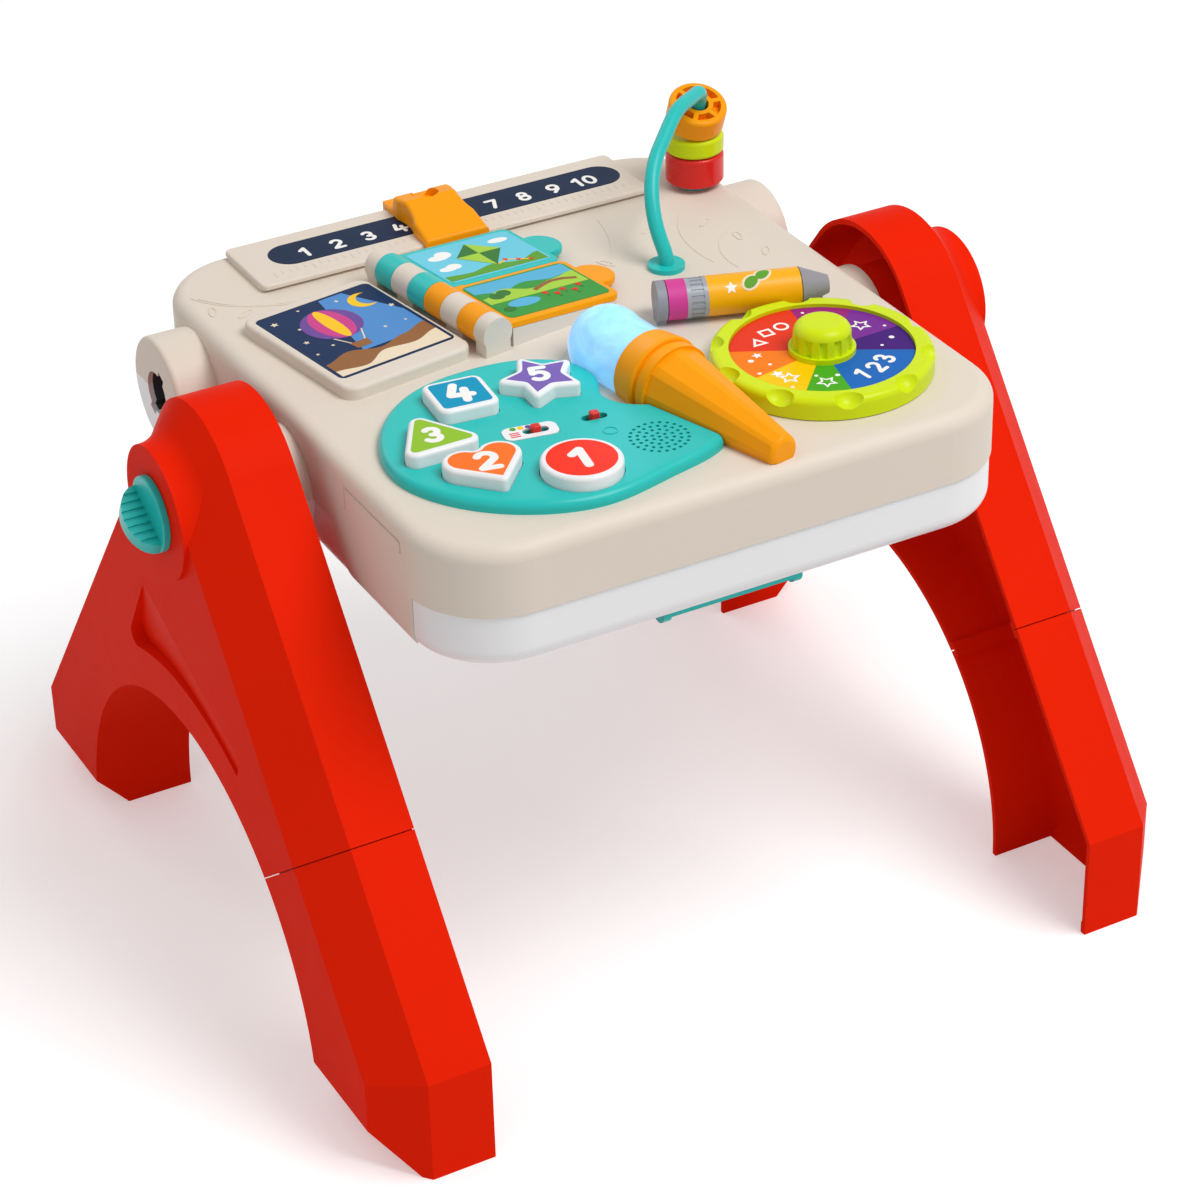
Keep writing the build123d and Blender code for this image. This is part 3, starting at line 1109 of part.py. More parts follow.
# Dial
def dial():
    place = Pos(DIAL_X, DIAL_Y, TOP_Z + DIAL_LIFT)
    ring = fillet(z_rod(DIAL_R, 0, DIAL_H).edges().group_by(Axis.Z)[-1], DIAL_EDGE_R)
    disc_top = DIAL_H - DIAL_DISC_SINK
    ring -= z_rod(DIAL_DISC_R + GAP, disc_top - DIAL_DISC_T, DIAL_H + OVER)
    ring -= z_rod(DIAL_DISC_R - DIAL_WEB, DIAL_WEB, DIAL_H + OVER)
    for i in range(DIAL_DENTS):
        dent = Pos(DIAL_R + DIAL_DENT_SIDE, 0, DIAL_H + DIAL_DENT_H) * Sphere(DIAL_DENT_R)
        ring -= Rot(0, 0, i * 360 / DIAL_DENTS) * dent
    ring += z_rod(DIAL_SPINDLE_R, -DIAL_COLLAR - DIAL_CLIP_T - WALL, disc_top - DIAL_DISC_T)
    neck = z_rod(DIAL_SPINDLE_R, *clip_span()) - z_rod(DIAL_SPINDLE_R - DIAL_CLIP_T, *clip_span())
    ring -= neck
    export_step(place * ring, "parts/dial_ring.step")
    disc = z_rod(DIAL_DISC_R, disc_top - DIAL_DISC_T, disc_top)
    export_step(place * disc, "parts/dial_disc.step")
    export_step(place * Pos(0, 0, disc_top) * dial_knob(), "parts/dial_knob.step")
    z0, z1 = clip_span()
    clip = z_rod(DIAL_CLIP_R, z0 + GAP, z1 - GAP) - z_rod(DIAL_SPINDLE_R - DIAL_CLIP_T + GAP, z0, z1)
    clip -= block(0, DIAL_CLIP_R, -DIAL_CLIP_T, DIAL_CLIP_T, z0, z1)
    export_step(place * clip, "parts/dial_clip.step")


def clip_span():
    """Heights of the retaining groove, over the dial's lower face."""
    top = -DIAL_COLLAR - DIAL_LIFT
    return top - DIAL_CLIP_T - GAP, top


def dial_knob():
    """Knob with a flange, a domed top and flutes on the lower part of its side."""
    base, top = DIAL_KNOB_FLANGE, DIAL_KNOB_H
    outline = Polyline((0, 0), (DIAL_KNOB_R, 0), (DIAL_KNOB_R, base), (DIAL_KNOB_BODY_R, base),
                       (DIAL_KNOB_TOP_R, top), (0, top), close=True)
    knob = revolve(Plane.XZ * make_face(outline), Axis.Z)
    knob = fillet(knob.edges().group_by(Axis.Z)[-1], DIAL_KNOB_EDGE_R)
    lean = degrees(atan((DIAL_KNOB_BODY_R - DIAL_KNOB_TOP_R) / (top - base)))
    flute = z_rod(DIAL_FLUTE_R, 0, DIAL_FLUTE_TOP - base)
    for i in range(DIAL_FLUTES):
        place = Location((DIAL_KNOB_BODY_R + DIAL_FLUTE_R / 4, 0, base), (0, -lean, 0))
        knob -= Rot(0, 0, i * 360 / DIAL_FLUTES) * place * flute
    return knob


# Brush
def brush_profile():
    """Outline (distance from the tip's middle, radius) of the brush behind its lit tip."""
    neck = BRUSH_COLLAR + BRUSH_COLLAR_L
    ring = neck + BRUSH_NECK_L
    grip = ring + BRUSH_RING_L
    return ((BRUSH_COLLAR, 0), (BRUSH_COLLAR, BRUSH_FACE_R), (neck, BRUSH_COLLAR_R), (neck, BRUSH_NECK_R),
            (ring, BRUSH_NECK_R), (ring, BRUSH_RING_R), (grip, BRUSH_RING_R), (grip, BRUSH_GRIP_R),
            (BRUSH_LENGTH, BRUSH_TAIL_R), (BRUSH_LENGTH, 0))


def brush_body():
    """Turned brush with rounded rims, and long flats on its tapering handle."""
    points = brush_profile()
    face = make_face(Polyline(*points, close=True))
    tail = face.vertices().sort_by_distance((*points[-2], 0))[0]
    face = fillet(tail, BRUSH_TAIL_EDGE_R)
    rims = [face.vertices().sort_by_distance((*spot, 0))[0] for spot in (points[1], points[2])]
    face = fillet(rims, BRUSH_EDGE_R)
    body = revolve(face, Axis.X)
    grip = points[-3][0]
    ends = []
    for x, r in ((grip, BRUSH_GRIP_R), (BRUSH_LENGTH, BRUSH_TAIL_R)):
        flats = RegularPolygon(BRUSH_FLAT_SHARE * r, BRUSH_FLATS, major_radius=False)
        ends.append(Plane.YZ.offset(x) * flats)
    handle = body & block(grip, BRUSH_LENGTH, -SPAN, SPAN, -SPAN, SPAN)
    head = body - block(grip, BRUSH_LENGTH, -SPAN, SPAN, -SPAN, SPAN)
    head += handle & loft(ends)
    return BRUSH * head


def brush_footprint(room):
    """Plan outline of the brush, with room round it."""
    points = brush_profile()[1:-1]
    other = [(d, -r) for d, r in reversed(points)]
    plan = offset(make_face(Polyline(*points, *other, close=True)), room) + Circle(LENS_R + room)
    plan += Rectangle(BRUSH_COLLAR, 2 * (LENS_NECK_R + room), align=(Align.MIN, Align.CENTER))
    return Location((BRUSH_X, BRUSH_Y, 0), (0, 0, BRUSH_TURN - 90)) * plan


def brush():
    handle = above(brush_body(), TOP_Z)
    export_step(handle, "parts/brush_handle.step")
    bulb = Sphere(LENS_R) + x_rod(LENS_NECK_R, 0, BRUSH_COLLAR)
    lens = above(BRUSH * bulb, TOP_Z)
    hollow = z_rod(LIGHT_R + OVER / 2, TOP_Z - OVER, TOP_Z + LIGHT_H + OVER / 2, BRUSH_X, BRUSH_Y)
    export_step(lens - hollow, "parts/brush_lens.step")
    plate = z_rod(LIGHT_PLATE_R, TOP_Z - LIGHT_PLATE_T, TOP_Z, BRUSH_X, BRUSH_Y)
    emitter = plate + z_rod(LIGHT_R, TOP_Z, TOP_Z + LIGHT_H - LIGHT_R, BRUSH_X, BRUSH_Y)
    emitter += Pos(BRUSH_X, BRUSH_Y, TOP_Z + LIGHT_H - LIGHT_R) * Sphere(LIGHT_R)
    export_step(emitter, "parts/light_emitter.step")


# Palette
def heart(size):
    lobe, side = HEART_LOBE_SHARE * size, HEART_SIDE_SHARE * size
    top, point = HEART_RISE_SHARE * size, -HEART_POINT_SHARE * size
    reach = hypot(side, top - point)
    turn = atan2(top - point, side) - asin(lobe / reach)
    run = (reach ** 2 - lobe ** 2) ** (1 / 2)
    x, y = run * cos(turn), point + run * sin(turn)
    face = make_face(Polyline((0, point), (x, y), (side, top), (-side, top), (-x, y), close=True))
    face += Pos(-side, top) * Circle(lobe)
    face += Pos(side, top) * Circle(lobe)
    cleft = top + (lobe ** 2 - side ** 2) ** (1 / 2)
    corners = [face.vertices().sort_by_distance((0, spot, 0))[0] for spot in (point, cleft)]
    return fillet(corners, HEART_ROUND_SHARE * size)


def star(size):
    outer, inner = STAR_SHARE * size, STAR_INNER_SHARE * size
    points = []
    for i in range(2 * STAR_POINTS):
        r = outer if i % 2 == 0 else inner
        a = radians(90 + i * 180 / STAR_POINTS)
        points.append((r * cos(a), r * sin(a)))
    face = make_face(Polyline(*points, close=True))
    return fillet(face.vertices(), STAR_ROUND_SHARE * size)


def button_outline(shape, inset):
    """Plan outline of a button, drawn inward by the inset."""
    size = BUTTON_SIZE
    if shape == "circle":
        return Circle(size / 2 - inset)
    if shape == "heart":
        face = heart(size)
    elif shape == "triangle":
        face = fillet((Rot(0, 0, 90) * RegularPolygon(TRIANGLE_SHARE * size, 3)).vertices(), BUTTON_CORNER_R)
    elif shape == "square":
        face = RectangleRounded(SQUARE_SHARE * size, SQUARE_SHARE * size, BUTTON_CORNER_R)
    else:
        face = star(size)
    return face if inset == 0 else offset(face, -inset)


def button_place(shape):
    x, y, turn = BUTTON_PLACES[shape]
    return Location((PALETTE_X + x, PALETTE_Y + y, 0), (0, 0, turn))


def button(shape):
    place = button_place(shape)
    top = PALETTE_TOP_Z + BUTTON_RISE
    body = slab(button_outline(shape, 0), BUTTON_FLANGE_Z, top)
    body = fillet(body.edges().group_by(Axis.Z)[-1], BUTTON_EDGE_R)
    body += slab(button_outline(shape, -BUTTON_FLANGE), BUTTON_FLANGE_Z, BUTTON_FLANGE_Z + BUTTON_FLANGE_T)
    body += z_rod(BUTTON_STEM_R, STEM_LOW_Z, BUTTON_FLANGE_Z)
    cap = slab(button_outline(shape, INSERT_RIM), top - INSERT_T, top)
    export_step(place * (body - slab(button_outline(shape, INSERT_RIM), top - INSERT_T, top + OVER)),
                f"parts/button_{shape}.step")
    export_step(place * cap, f"parts/button_{shape}_insert.step")


def switch_place(name):
    x, y, turn = SWITCH_PLACES[name]
    return Location((PALETTE_X + x, PALETTE_Y + y, 0), (0, 0, turn))


def switch(name):
    place = switch_place(name)
    base_z = TOP_Z - BUTTON_STOP - SWITCH_BASE_T
    base = RectangleRounded(SWITCH_BASE_L, SWITCH_BASE_W, SWITCH_BASE_T / 2)
    base = slab(base, base_z, base_z + SWITCH_BASE_T)
    knob = RectangleRounded(SWITCH_KNOB_L, SWITCH_KNOB_W, SWITCH_BASE_T / 2)
    knob = slab(knob, base_z, PALETTE_TOP_Z + SWITCH_KNOB_H)
    knob = fillet(knob.edges().group_by(Axis.Z)[-1], SWITCH_KNOB_W / 4)
    export_step(place * (base + knob), f"parts/{name}.step")


def plate_outline(room):
    return Pos(PLATE_SHIFT, 0) * RectangleRounded(PLATE_L + 2 * room, PLATE_W + 2 * room, PLATE_W / 3)


def switch_plate():
    z = PALETTE_TOP_Z - PLATE_SINK
    slot = SlotOverall(SWITCH_SLOT_L, SWITCH_SLOT_W)
    plate = slab(plate_outline(0) - slot, z, z + PLATE_T)
    export_step(switch_place("power_switch") * plate, "parts/switch_plate.step")


def grille_holes():
    """Rings of small holes over the speaker."""
    hole = RegularPolygon(GRILLE_HOLE_R, GRILLE_SIDES)
    holes = [hole]
    for ring in range(1, GRILLE_RINGS + 1):
        count = GRILLE_SIDES * ring
        for i in range(count):
            a = radians(360 * i / count + ring * 360 / GRILLE_SIDES / GRILLE_RINGS)
            holes.append(Pos(ring * GRILLE_PITCH * cos(a), ring * GRILLE_PITCH * sin(a)) * hole)
    return [Pos(GRILLE_X, GRILLE_Y) * h for h in holes]


def palette():
    body = slab(palette_outline(0), TOP_Z, PALETTE_TOP_Z)
    body = fillet(body.edges().group_by(Axis.Z)[-1], PALETTE_EDGE_R)
    body -= slab(brush_footprint(BRUSH_ROOM), TOP_Z - OVER, PALETTE_TOP_Z + OVER)
    for shape in BUTTON_PLACES:
        hole = button_place(shape) * button_outline(shape, -BUTTON_SIDE_GAP)
        body -= slab(hole, TOP_Z - OVER, PALETTE_TOP_Z + OVER)
    for name in SWITCH_PLACES:
        slot = SlotOverall(SWITCH_SLOT_L, SWITCH_SLOT_W)
        body -= switch_place(name) * slab(slot, TOP_Z - OVER, PALETTE_TOP_Z + OVER)
    seat = switch_place("power_switch") * plate_outline(GAP)
    body -= slab(seat, PALETTE_TOP_Z - PLATE_SINK, PALETTE_TOP_Z + OVER)
    body -= [slab(h, TOP_Z - OVER, PALETTE_TOP_Z + OVER) for h in grille_holes()]
    body += [z_rod(BOARD_POST_R, BOARD_TOP_Z, TOP_Z + PALETTE_T / 2, x, y) for x, y in board_posts()]
    export_step(body, "parts/palette.step")


def speaker():
    top = TOP_Z - WALL - GAP
    frame = z_rod(SPEAKER_R, top - SPEAKER_FRAME, top)
    frame -= z_rod(SPEAKER_CONE_R, top - SPEAKER_FRAME / 2, top + OVER)
    magnet = z_rod(SPEAKER_MAGNET_R, top - SPEAKER_H, top - SPEAKER_FRAME)
    export_step(Pos(GRILLE_X, GRILLE_Y, 0) * (frame + magnet), "parts/speaker.step")


def board_posts():
    return [(PALETTE_X + x, PALETTE_Y + y) for x, y in BOARD_POSTS]


def circuit_board():
    outline = Pos(BOARD_X, BOARD_Y) * RectangleRounded(BOARD_W, BOARD_D, BOARD_CORNER_R)
    export_step(slab(outline, BOARD_TOP_Z - BOARD_T, BOARD_TOP_Z), "parts/circuit_board.step")
    sheet = slab(offset(outline, -MEMBRANE_RIM), BOARD_TOP_Z, BOARD_TOP_Z + MEMBRANE_T)
    for shape in BUTTON_PLACES:
        sheet += button_place(shape) * z_rod(DOME_R, BOARD_TOP_Z, DOME_TOP_Z)
    sheet -= [z_rod(BOARD_POST_R + GAP, BOARD_TOP_Z - OVER, TOP_Z, x, y) for x, y in board_posts()]
    export_step(sheet, "parts/button_membrane.step")


legs()
lock_knobs()
upper_shell()
lower_shell()
bushes()
case_screws()
battery_parts()
paper_ledge()
number_strip()
slider()
picture_panel()
pages()
bead_rod()
beads()
pencil()
dial()
brush()
palette()
for shape in BUTTON_PLACES:
    button(shape)
for name in SWITCH_PLACES:
    switch(name)
switch_plate()
speaker()
circuit_board()
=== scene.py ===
import json
from math import cos, hypot, pi, radians, sin
import bmesh
import bpy
from mathutils import Matrix, Vector

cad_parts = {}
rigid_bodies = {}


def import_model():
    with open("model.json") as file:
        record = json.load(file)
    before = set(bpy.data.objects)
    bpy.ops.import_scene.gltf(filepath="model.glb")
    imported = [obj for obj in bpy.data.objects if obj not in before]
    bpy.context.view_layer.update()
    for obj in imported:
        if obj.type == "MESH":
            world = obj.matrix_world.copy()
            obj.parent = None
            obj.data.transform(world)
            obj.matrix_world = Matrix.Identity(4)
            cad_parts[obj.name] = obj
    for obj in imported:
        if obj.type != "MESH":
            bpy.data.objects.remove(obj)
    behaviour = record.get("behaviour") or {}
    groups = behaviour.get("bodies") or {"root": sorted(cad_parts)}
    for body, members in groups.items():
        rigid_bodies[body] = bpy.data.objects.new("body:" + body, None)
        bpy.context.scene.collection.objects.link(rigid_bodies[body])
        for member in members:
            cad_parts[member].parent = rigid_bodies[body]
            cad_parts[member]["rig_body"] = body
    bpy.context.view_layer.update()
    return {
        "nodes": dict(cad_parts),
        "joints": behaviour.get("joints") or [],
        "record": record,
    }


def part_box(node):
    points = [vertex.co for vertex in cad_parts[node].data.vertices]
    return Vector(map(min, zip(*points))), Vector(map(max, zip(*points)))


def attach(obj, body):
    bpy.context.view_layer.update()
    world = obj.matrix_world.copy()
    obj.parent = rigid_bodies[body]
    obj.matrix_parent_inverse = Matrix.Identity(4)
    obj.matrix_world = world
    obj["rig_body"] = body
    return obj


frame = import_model()
nodes = frame["nodes"]
slots = {part["node"]: part["material_slot"] for part in frame["record"]["subparts"]}
joints = {joint["name"]: joint for joint in frame["joints"]}

MM = 0.001
Z = Vector((0, 0, 1))

# Camera of the photograph
CAMERA_PLACE = Vector((-0.8445, -1.5982, 1.2770))
CAMERA_AZIMUTH = radians(-28.256)
CAMERA_ELEVATION = radians(31.752)
CAMERA_ROLL = radians(-1.4)
CAMERA_LENS = 106.5
CAMERA_FAR = 50

# Floor and light
FLOOR_REACH = 12.0
FLOOR_TONE = 0.82
FLOOR_WHITE = 0.36       # what the camera sees over the floor's own light
WORLD_LIGHT = 0.42
WORLD_SEEN = 0.78        # as pale as the far floor
LIGHT_AIM = Vector((0, 0, 0.3))
LIGHTS = {               # place, size and power
    "key": (Vector((0.9, -1.3, 2.9)), 1.6, 62),
    "fill": (Vector((-2.2, -1.2, 1.4)), 1.8, 3),
    "rim": (Vector((-0.6, 2.2, 1.9)), 1.6, 8),
}
GLOW_POWER = 0.028
GLOW_COLOUR = (0.3, 0.6, 1.0)
GLOW_SIZE = 0.02
GLOW_LIFT = 0.03         # over the lens

# Surfaces, with scales in features to the metre
CLOUD_SCALE = 9.0
GLOSS_SCALE = 60.0
GLOSS_SPREAD = 0.06
GRAIN_SCALE = 1400.0
GRAIN_DETAIL = 2.0
GRAIN_DEPTH = 0.2 * MM
METAL_CLOUD_SCALE = 300.0
METAL_TONES = (0.85, 1.05)
METAL_GLOSS_SCALE = 800.0
METAL_ROUGH = (0.2, 0.38)
DISC_CLOUD_SCALE = 60.0
DISC_SHADE = 0.92
DISC_GLOSS_SCALE = 90.0
DISC_ROUGH = (0.25, 0.35)
DISC_SHINE = 0.08
LENS_SWIRL_SCALE = 45.0
LENS_SWIRL_DETAIL = 2.0
LENS_SWIRL = 1.5
LENS_TONES = (0.75, 1.25)
LENS_GLOSS_SCALE = 80.0
LENS_ROUGH = (0.1, 0.22)
# painted glow: how strongly the lens gives off light itself, with no lamp behind it
LENS_PAINTED_GLOW = 0.55
PRINT_SHINE = 0.1
INSERT_ROUGH = 0.34
INSERT_SHINE = 0.08

# Heights of prints and raised lines
INK = 0.06 * MM          # one printed layer
NUMBER_INK = 2 * INK
STRIP_PROUD = 0.2 * MM   # the number strip, over the ruler
RELIEF = 0.3 * MM        # raised lines of the mould
HEIGHT_STEPS = 6         # shapes of one print differ slightly in height, because some overlap
HEIGHT_STEP = 0.05       # share of the print's height
RING_START = 1.3         # rings lie over the other shapes of their print

# Turns of what is printed
BOOK_TURN = radians(8.8)
PAGE_FALL = radians(5.0)
SWITCH_TURN = radians(-10.0)
PENCIL_LEAN = radians(22)

# Numbers and ticks, in millimetres and degrees
DIGIT_SPACE = 0.66       # between two digits' middles, over their height
DIGIT_END_POINTS = 16
STRIP_NUMBERS = 10
STRIP_STEP = 21.0
STRIP_SHIFT_X = -1.5     # of the numbers' middle, from the strip's middle
STRIP_SHIFT_Y = -2.5
STRIP_TALL = 12.5
STRIP_WEIGHT = 2.4
TICKS = 49
TICK_STEP = 5.0
TICK_SHIFT_X = -3.5      # of the ticks' middle, from the strip's middle
TICK_END_Y = -17.5       # from the strip's middle
TICK_W = 1.0
TICK_LONG = 6.5
TICK_SHORT = 4.0
TICK_GROUP = 5           # from one long tick to the next
BUTTON_NUMBERS = {       # number, height, turn and shift to the rear
    "circle": (1, 22, -10, 0.0),
    "heart": (2, 20, -12, 1.5),
    "triangle": (3, 17, -14, -3.0),
    "square": (4, 22, -16, 0.0),
    "star": (5, 17, -14, 0.0),
}
BUTTON_WEIGHT = 0.23     # line width over height
DIAL_ANGLES = {1: -84, 2: -66, 3: -48}
DIAL_REACH = 36.0
DIAL_TALL = 13.0
DIAL_WEIGHT = 2.4

# Pictures, marks and lines, in millimetres
PANEL_MARGIN = 2.0
PAGE_MARGIN = 1.5
HILL_STEPS = 6           # from one height of a hill to the next
WRAP_CUTS = 5            # of each edge that bends round the roller
DOT_R = 1.8
DOT_INSET = 2.2
PALETTE_RING = (-43.0, -124.0, 4.2)
LINE_W = 1.2             # raised lines on the table's top


def linear(red, green, blue):
    """A display colour, 0 to 255, as the linear colour that the shader takes."""
    shares = (value / 255 for value in (red, green, blue))
    return tuple(v / 12.92 if v < 0.04045 else ((v + 0.055) / 1.055) ** 2.4 for v in shares)


def toned(colour, factor):
    return tuple(min(1.0, value * factor) for value in colour) + (1.0,)


def add_object(name, data):
    thing = bpy.data.objects.new(name, data)
    bpy.context.scene.collection.objects.link(thing)
    return thing


# Materials

def new_material(name):
    material = bpy.data.materials.new(name)
    material.use_nodes = True
    tree = material.node_tree
    return material, tree, tree.nodes["Principled BSDF"]


def add_node(tree, kind, **inputs):
    node = tree.nodes.new(kind)
    for key, value in inputs.items():
        node.inputs[key.replace("_", " ")].default_value = value
    return node


def own_place(tree):
    """Place on the piece, as its mesh lies at rest."""
    return tree.nodes.new("ShaderNodeTexCoord").outputs["Object"]


def noise(tree, scale, detail=3.0, distortion=0.0):
    texture = add_node(tree, "ShaderNodeTexNoise", Scale=scale, Detail=detail, Distortion=distortion)
    tree.links.new(own_place(tree), texture.inputs["Vector"])
    return texture.outputs["Fac"]


def blended(tree, factor, low, high):
    mix = tree.nodes.new("ShaderNodeMix")
    mix.data_type = "RGBA"
    mix.inputs["A"].default_value = low
    mix.inputs["B"].default_value = high
    tree.links.new(factor, mix.inputs["Factor"])
    return mix.outputs["Result"]


def multiplied(tree, colour, shade):
    mix = tree.nodes.new("ShaderNodeMix")
    mix.data_type = "RGBA"
    mix.blend_type = "MULTIPLY"
    mix.inputs["Factor"].default_value = 1.0
    tree.links.new(colour, mix.inputs["A"])
    tree.links.new(shade, mix.inputs["B"])
    return mix.outputs["Result"]


def ranged(tree, value, low, high):
    node = add_node(tree, "ShaderNodeMapRange", To_Min=low, To_Max=high)
    tree.links.new(value, node.inputs["Value"])
    return node.outputs["Result"]


def combined(tree, operation, first, second):
    node = tree.nodes.new("ShaderNodeMath")
    node.operation = operation
    tree.links.new(first, node.inputs[0])
    tree.links.new(second, node.inputs[1])
    return node.outputs["Value"]


def grain(tree, shader, depth):
    """Fine relief of the mould's surface."""
    bump = add_node(tree, "ShaderNodeBump", Strength=depth, Distance=GRAIN_DEPTH)
    tree.links.new(noise(tree, GRAIN_SCALE, GRAIN_DETAIL), bump.inputs["Height"])
    tree.links.new(bump.outputs["Normal"], shader.inputs["Normal"])


def moulded(name, colour, rough=0.32, spread=0.035, relief=0.12, shine=0.3):
    """Moulded plastic: a slightly cloudy colour, uneven gloss and a fine grain."""
    material, tree, shader = new_material(name)
    tint = blended(tree, noise(tree, CLOUD_SCALE), toned(colour, 1 - spread), toned(colour, 1 + spread))
    tree.links.new(tint, shader.inputs["Base Color"])
    gloss = ranged(tree, noise(tree, GLOSS_SCALE), rough - GLOSS_SPREAD, rough + GLOSS_SPREAD)
    tree.links.new(gloss, shader.inputs["Roughness"])
    grain(tree, shader, relief)
    shader.inputs["Specular IOR Level"].default_value = shine
    return material


def metal(name, colour):
    """Bright metal with an uneven gloss."""
    material, tree, shader = new_material(name)
    dark, pale = METAL_TONES
    tint = blended(tree, noise(tree, METAL_CLOUD_SCALE), toned(colour, dark), toned(colour, pale))
    tree.links.new(tint, shader.inputs["Base Color"])
    gloss = ranged(tree, noise(tree, METAL_GLOSS_SCALE), *METAL_ROUGH)
    tree.links.new(gloss, shader.inputs["Roughness"])
    shader.inputs["Metallic"].default_value = 1.0
    return material


def around(tree, centre):
    """Angle about an upright axis, as a share of a turn from the -X side, clockwise seen from above."""
    shift = tree.nodes.new("ShaderNodeVectorMath")
    shift.operation = "SUBTRACT"
    shift.inputs[1].default_value = centre
    tree.links.new(own_place(tree), shift.inputs[0])
    axes = tree.nodes.new("ShaderNodeSeparateXYZ")
    tree.links.new(shift.outputs["Vector"], axes.inputs["Vector"])
    turn = add_node(tree, "ShaderNodeMapRange", From_Min=pi, From_Max=-pi, To_Min=0.0, To_Max=1.0)
    angle = combined(tree, "ARCTAN2", axes.outputs["Y"], axes.outputs["X"])
    tree.links.new(angle, turn.inputs["Value"])
    return turn.outputs["Result"]


def sectors(name, centre, stops):
    """A disc printed with sectors, each slightly cloudy, that start at shares of a turn."""
    material, tree, shader = new_material(name)
    ramp = tree.nodes.new("ShaderNodeValToRGB")
    ramp.color_ramp.interpolation = "CONSTANT"
    elements = ramp.color_ramp.elements
    for index, (share, colour) in enumerate(stops):
        element = elements[index] if index < 2 else elements.new(share)
        element.position = share
        element.color = colour + (1.0,)
    tree.links.new(around(tree, centre), ramp.inputs["Fac"])
    white = (1.0, 1.0, 1.0)
    shade = blended(tree, noise(tree, DISC_CLOUD_SCALE), toned(white, DISC_SHADE), toned(white, 1.0))
    tint = multiplied(tree, ramp.outputs["Color"], shade)
    tree.links.new(tint, shader.inputs["Base Color"])
    gloss = ranged(tree, noise(tree, DISC_GLOSS_SCALE), *DISC_ROUGH)
    tree.links.new(gloss, shader.inputs["Roughness"])
    shader.inputs["Specular IOR Level"].default_value = DISC_SHINE
    return material


def lit_lens(name, colour):
    """Milky lens, brighter in its swirls, that glows by its own emission: a painted glow, with no lamp,
    standing in for the light behind it.
    """
    material, tree, shader = new_material(name)
    swirl = noise(tree, LENS_SWIRL_SCALE, LENS_SWIRL_DETAIL, LENS_SWIRL)
    dark, pale = LENS_TONES
    tint = blended(tree, swirl, toned(colour, dark), toned(colour, pale))
    tree.links.new(tint, shader.inputs["Base Color"])
    # Painted glow: the lens gives off its own swirled colour as light.
    tree.links.new(tint, shader.inputs["Emission Color"])
    shader.inputs["Emission Strength"].default_value = LENS_PAINTED_GLOW
    gloss = ranged(tree, noise(tree, LENS_GLOSS_SCALE), *LENS_ROUGH)
    tree.links.new(gloss, shader.inputs["Roughness"])
    return material


AMBER = linear(250, 128, 20)
RAINBOW = (              # where each sector starts, as a share of a turn
    (0.0, AMBER),
    (0.077, linear(234, 54, 24)),
    (0.278, linear(158, 30, 120)),
    (0.389, linear(124, 40, 150)),
    (0.49, linear(66, 14, 120)),
    (0.583, linear(22, 104, 190)),
    (0.783, linear(74, 172, 36)),
    (0.867, linear(252, 202, 10)),
    (0.965, AMBER),
)
INSERT_COLOURS = {
    "red": (252, 54, 30),
    "orange": (252, 118, 40),
    "green": (146, 194, 48),
    "blue": (8, 150, 190),
    "purple": (124, 98, 176),
}
INK_COLOURS = {
    "white": (246, 244, 240),
    "cream": (238, 220, 192),
    "haze": (84, 142, 204),
    "sky": (92, 180, 214),
    "violet": (112, 76, 152),
    "magenta": (206, 70, 140),
    "red": (226, 52, 44),
    "sun": (255, 200, 40),
    "leaf": (96, 160, 52),
    "moss": (56, 120, 52),
    "fresh": (168, 208, 70),
    "brown": (150, 100, 60),
}

dial_low, dial_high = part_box("dial_disc")
dial_centre = (dial_low + dial_high) / 2

materials = {
    "tan": moulded("tan_plastic", linear(225, 213, 199), rough=0.48, spread=0.025, relief=0.3),
    "white": moulded("white_plastic", linear(240, 240, 241), rough=0.3, spread=0.02),
    "teal": moulded("teal_plastic", linear(34, 192, 186)),
    "red": moulded("red_plastic", linear(236, 36, 8), rough=0.42, shine=0.01),
    "bead_red": moulded("bead_red_plastic", linear(222, 36, 30), rough=0.28),
    "lime": moulded("lime_plastic", linear(208, 228, 8), shine=0.2),
    "orange": moulded("orange_plastic", linear(255, 160, 2), rough=0.36, shine=0.15),
    "navy": moulded("navy_strip", linear(18, 38, 68), rough=0.4, spread=0.06, shine=PRINT_SHINE),
    "picture": moulded("night_card", linear(22, 46, 84), rough=0.42, spread=0.2, shine=PRINT_SHINE),
    "page_rear_art": moulded("sky_card", linear(112, 204, 226), rough=0.42, spread=0.1, shine=PRINT_SHINE),
    "page_front_art": moulded("meadow_card", linear(60, 150, 62), rough=0.42, spread=0.12, shine=PRINT_SHINE),
    "rainbow": sectors("rainbow_disc", dial_centre, RAINBOW),
    "pink": moulded("pink_rubber", linear(210, 60, 144), rough=0.5, spread=0.05, relief=0.3),
    "silver": moulded("silver_plastic", linear(160, 162, 170), rough=0.3, spread=0.05, shine=0.6),
    "yellow": moulded("yellow_plastic", linear(250, 176, 4)),
    "grey": moulded("grey_plastic", linear(146, 144, 150), rough=0.42, spread=0.05, relief=0.25),
    "lens": lit_lens("lit_lens", linear(140, 196, 255)),
    "dark": moulded("dark_plastic", linear(60, 62, 66), rough=0.45, spread=0.08, relief=0.25),
    "steel": metal("bright_steel", linear(180, 182, 186)),
    "cell": moulded("cell_sleeve", linear(58, 88, 58), rough=0.3, spread=0.08),
    "board": moulded("board_lacquer", linear(20, 90, 48), rough=0.3, spread=0.12),
    "silicone": moulded("silicone_sheet", linear(208, 208, 203), rough=0.55, spread=0.05),
    "emitter": moulded("emitter_dome", linear(220, 235, 255), rough=0.1, spread=0.03),
}
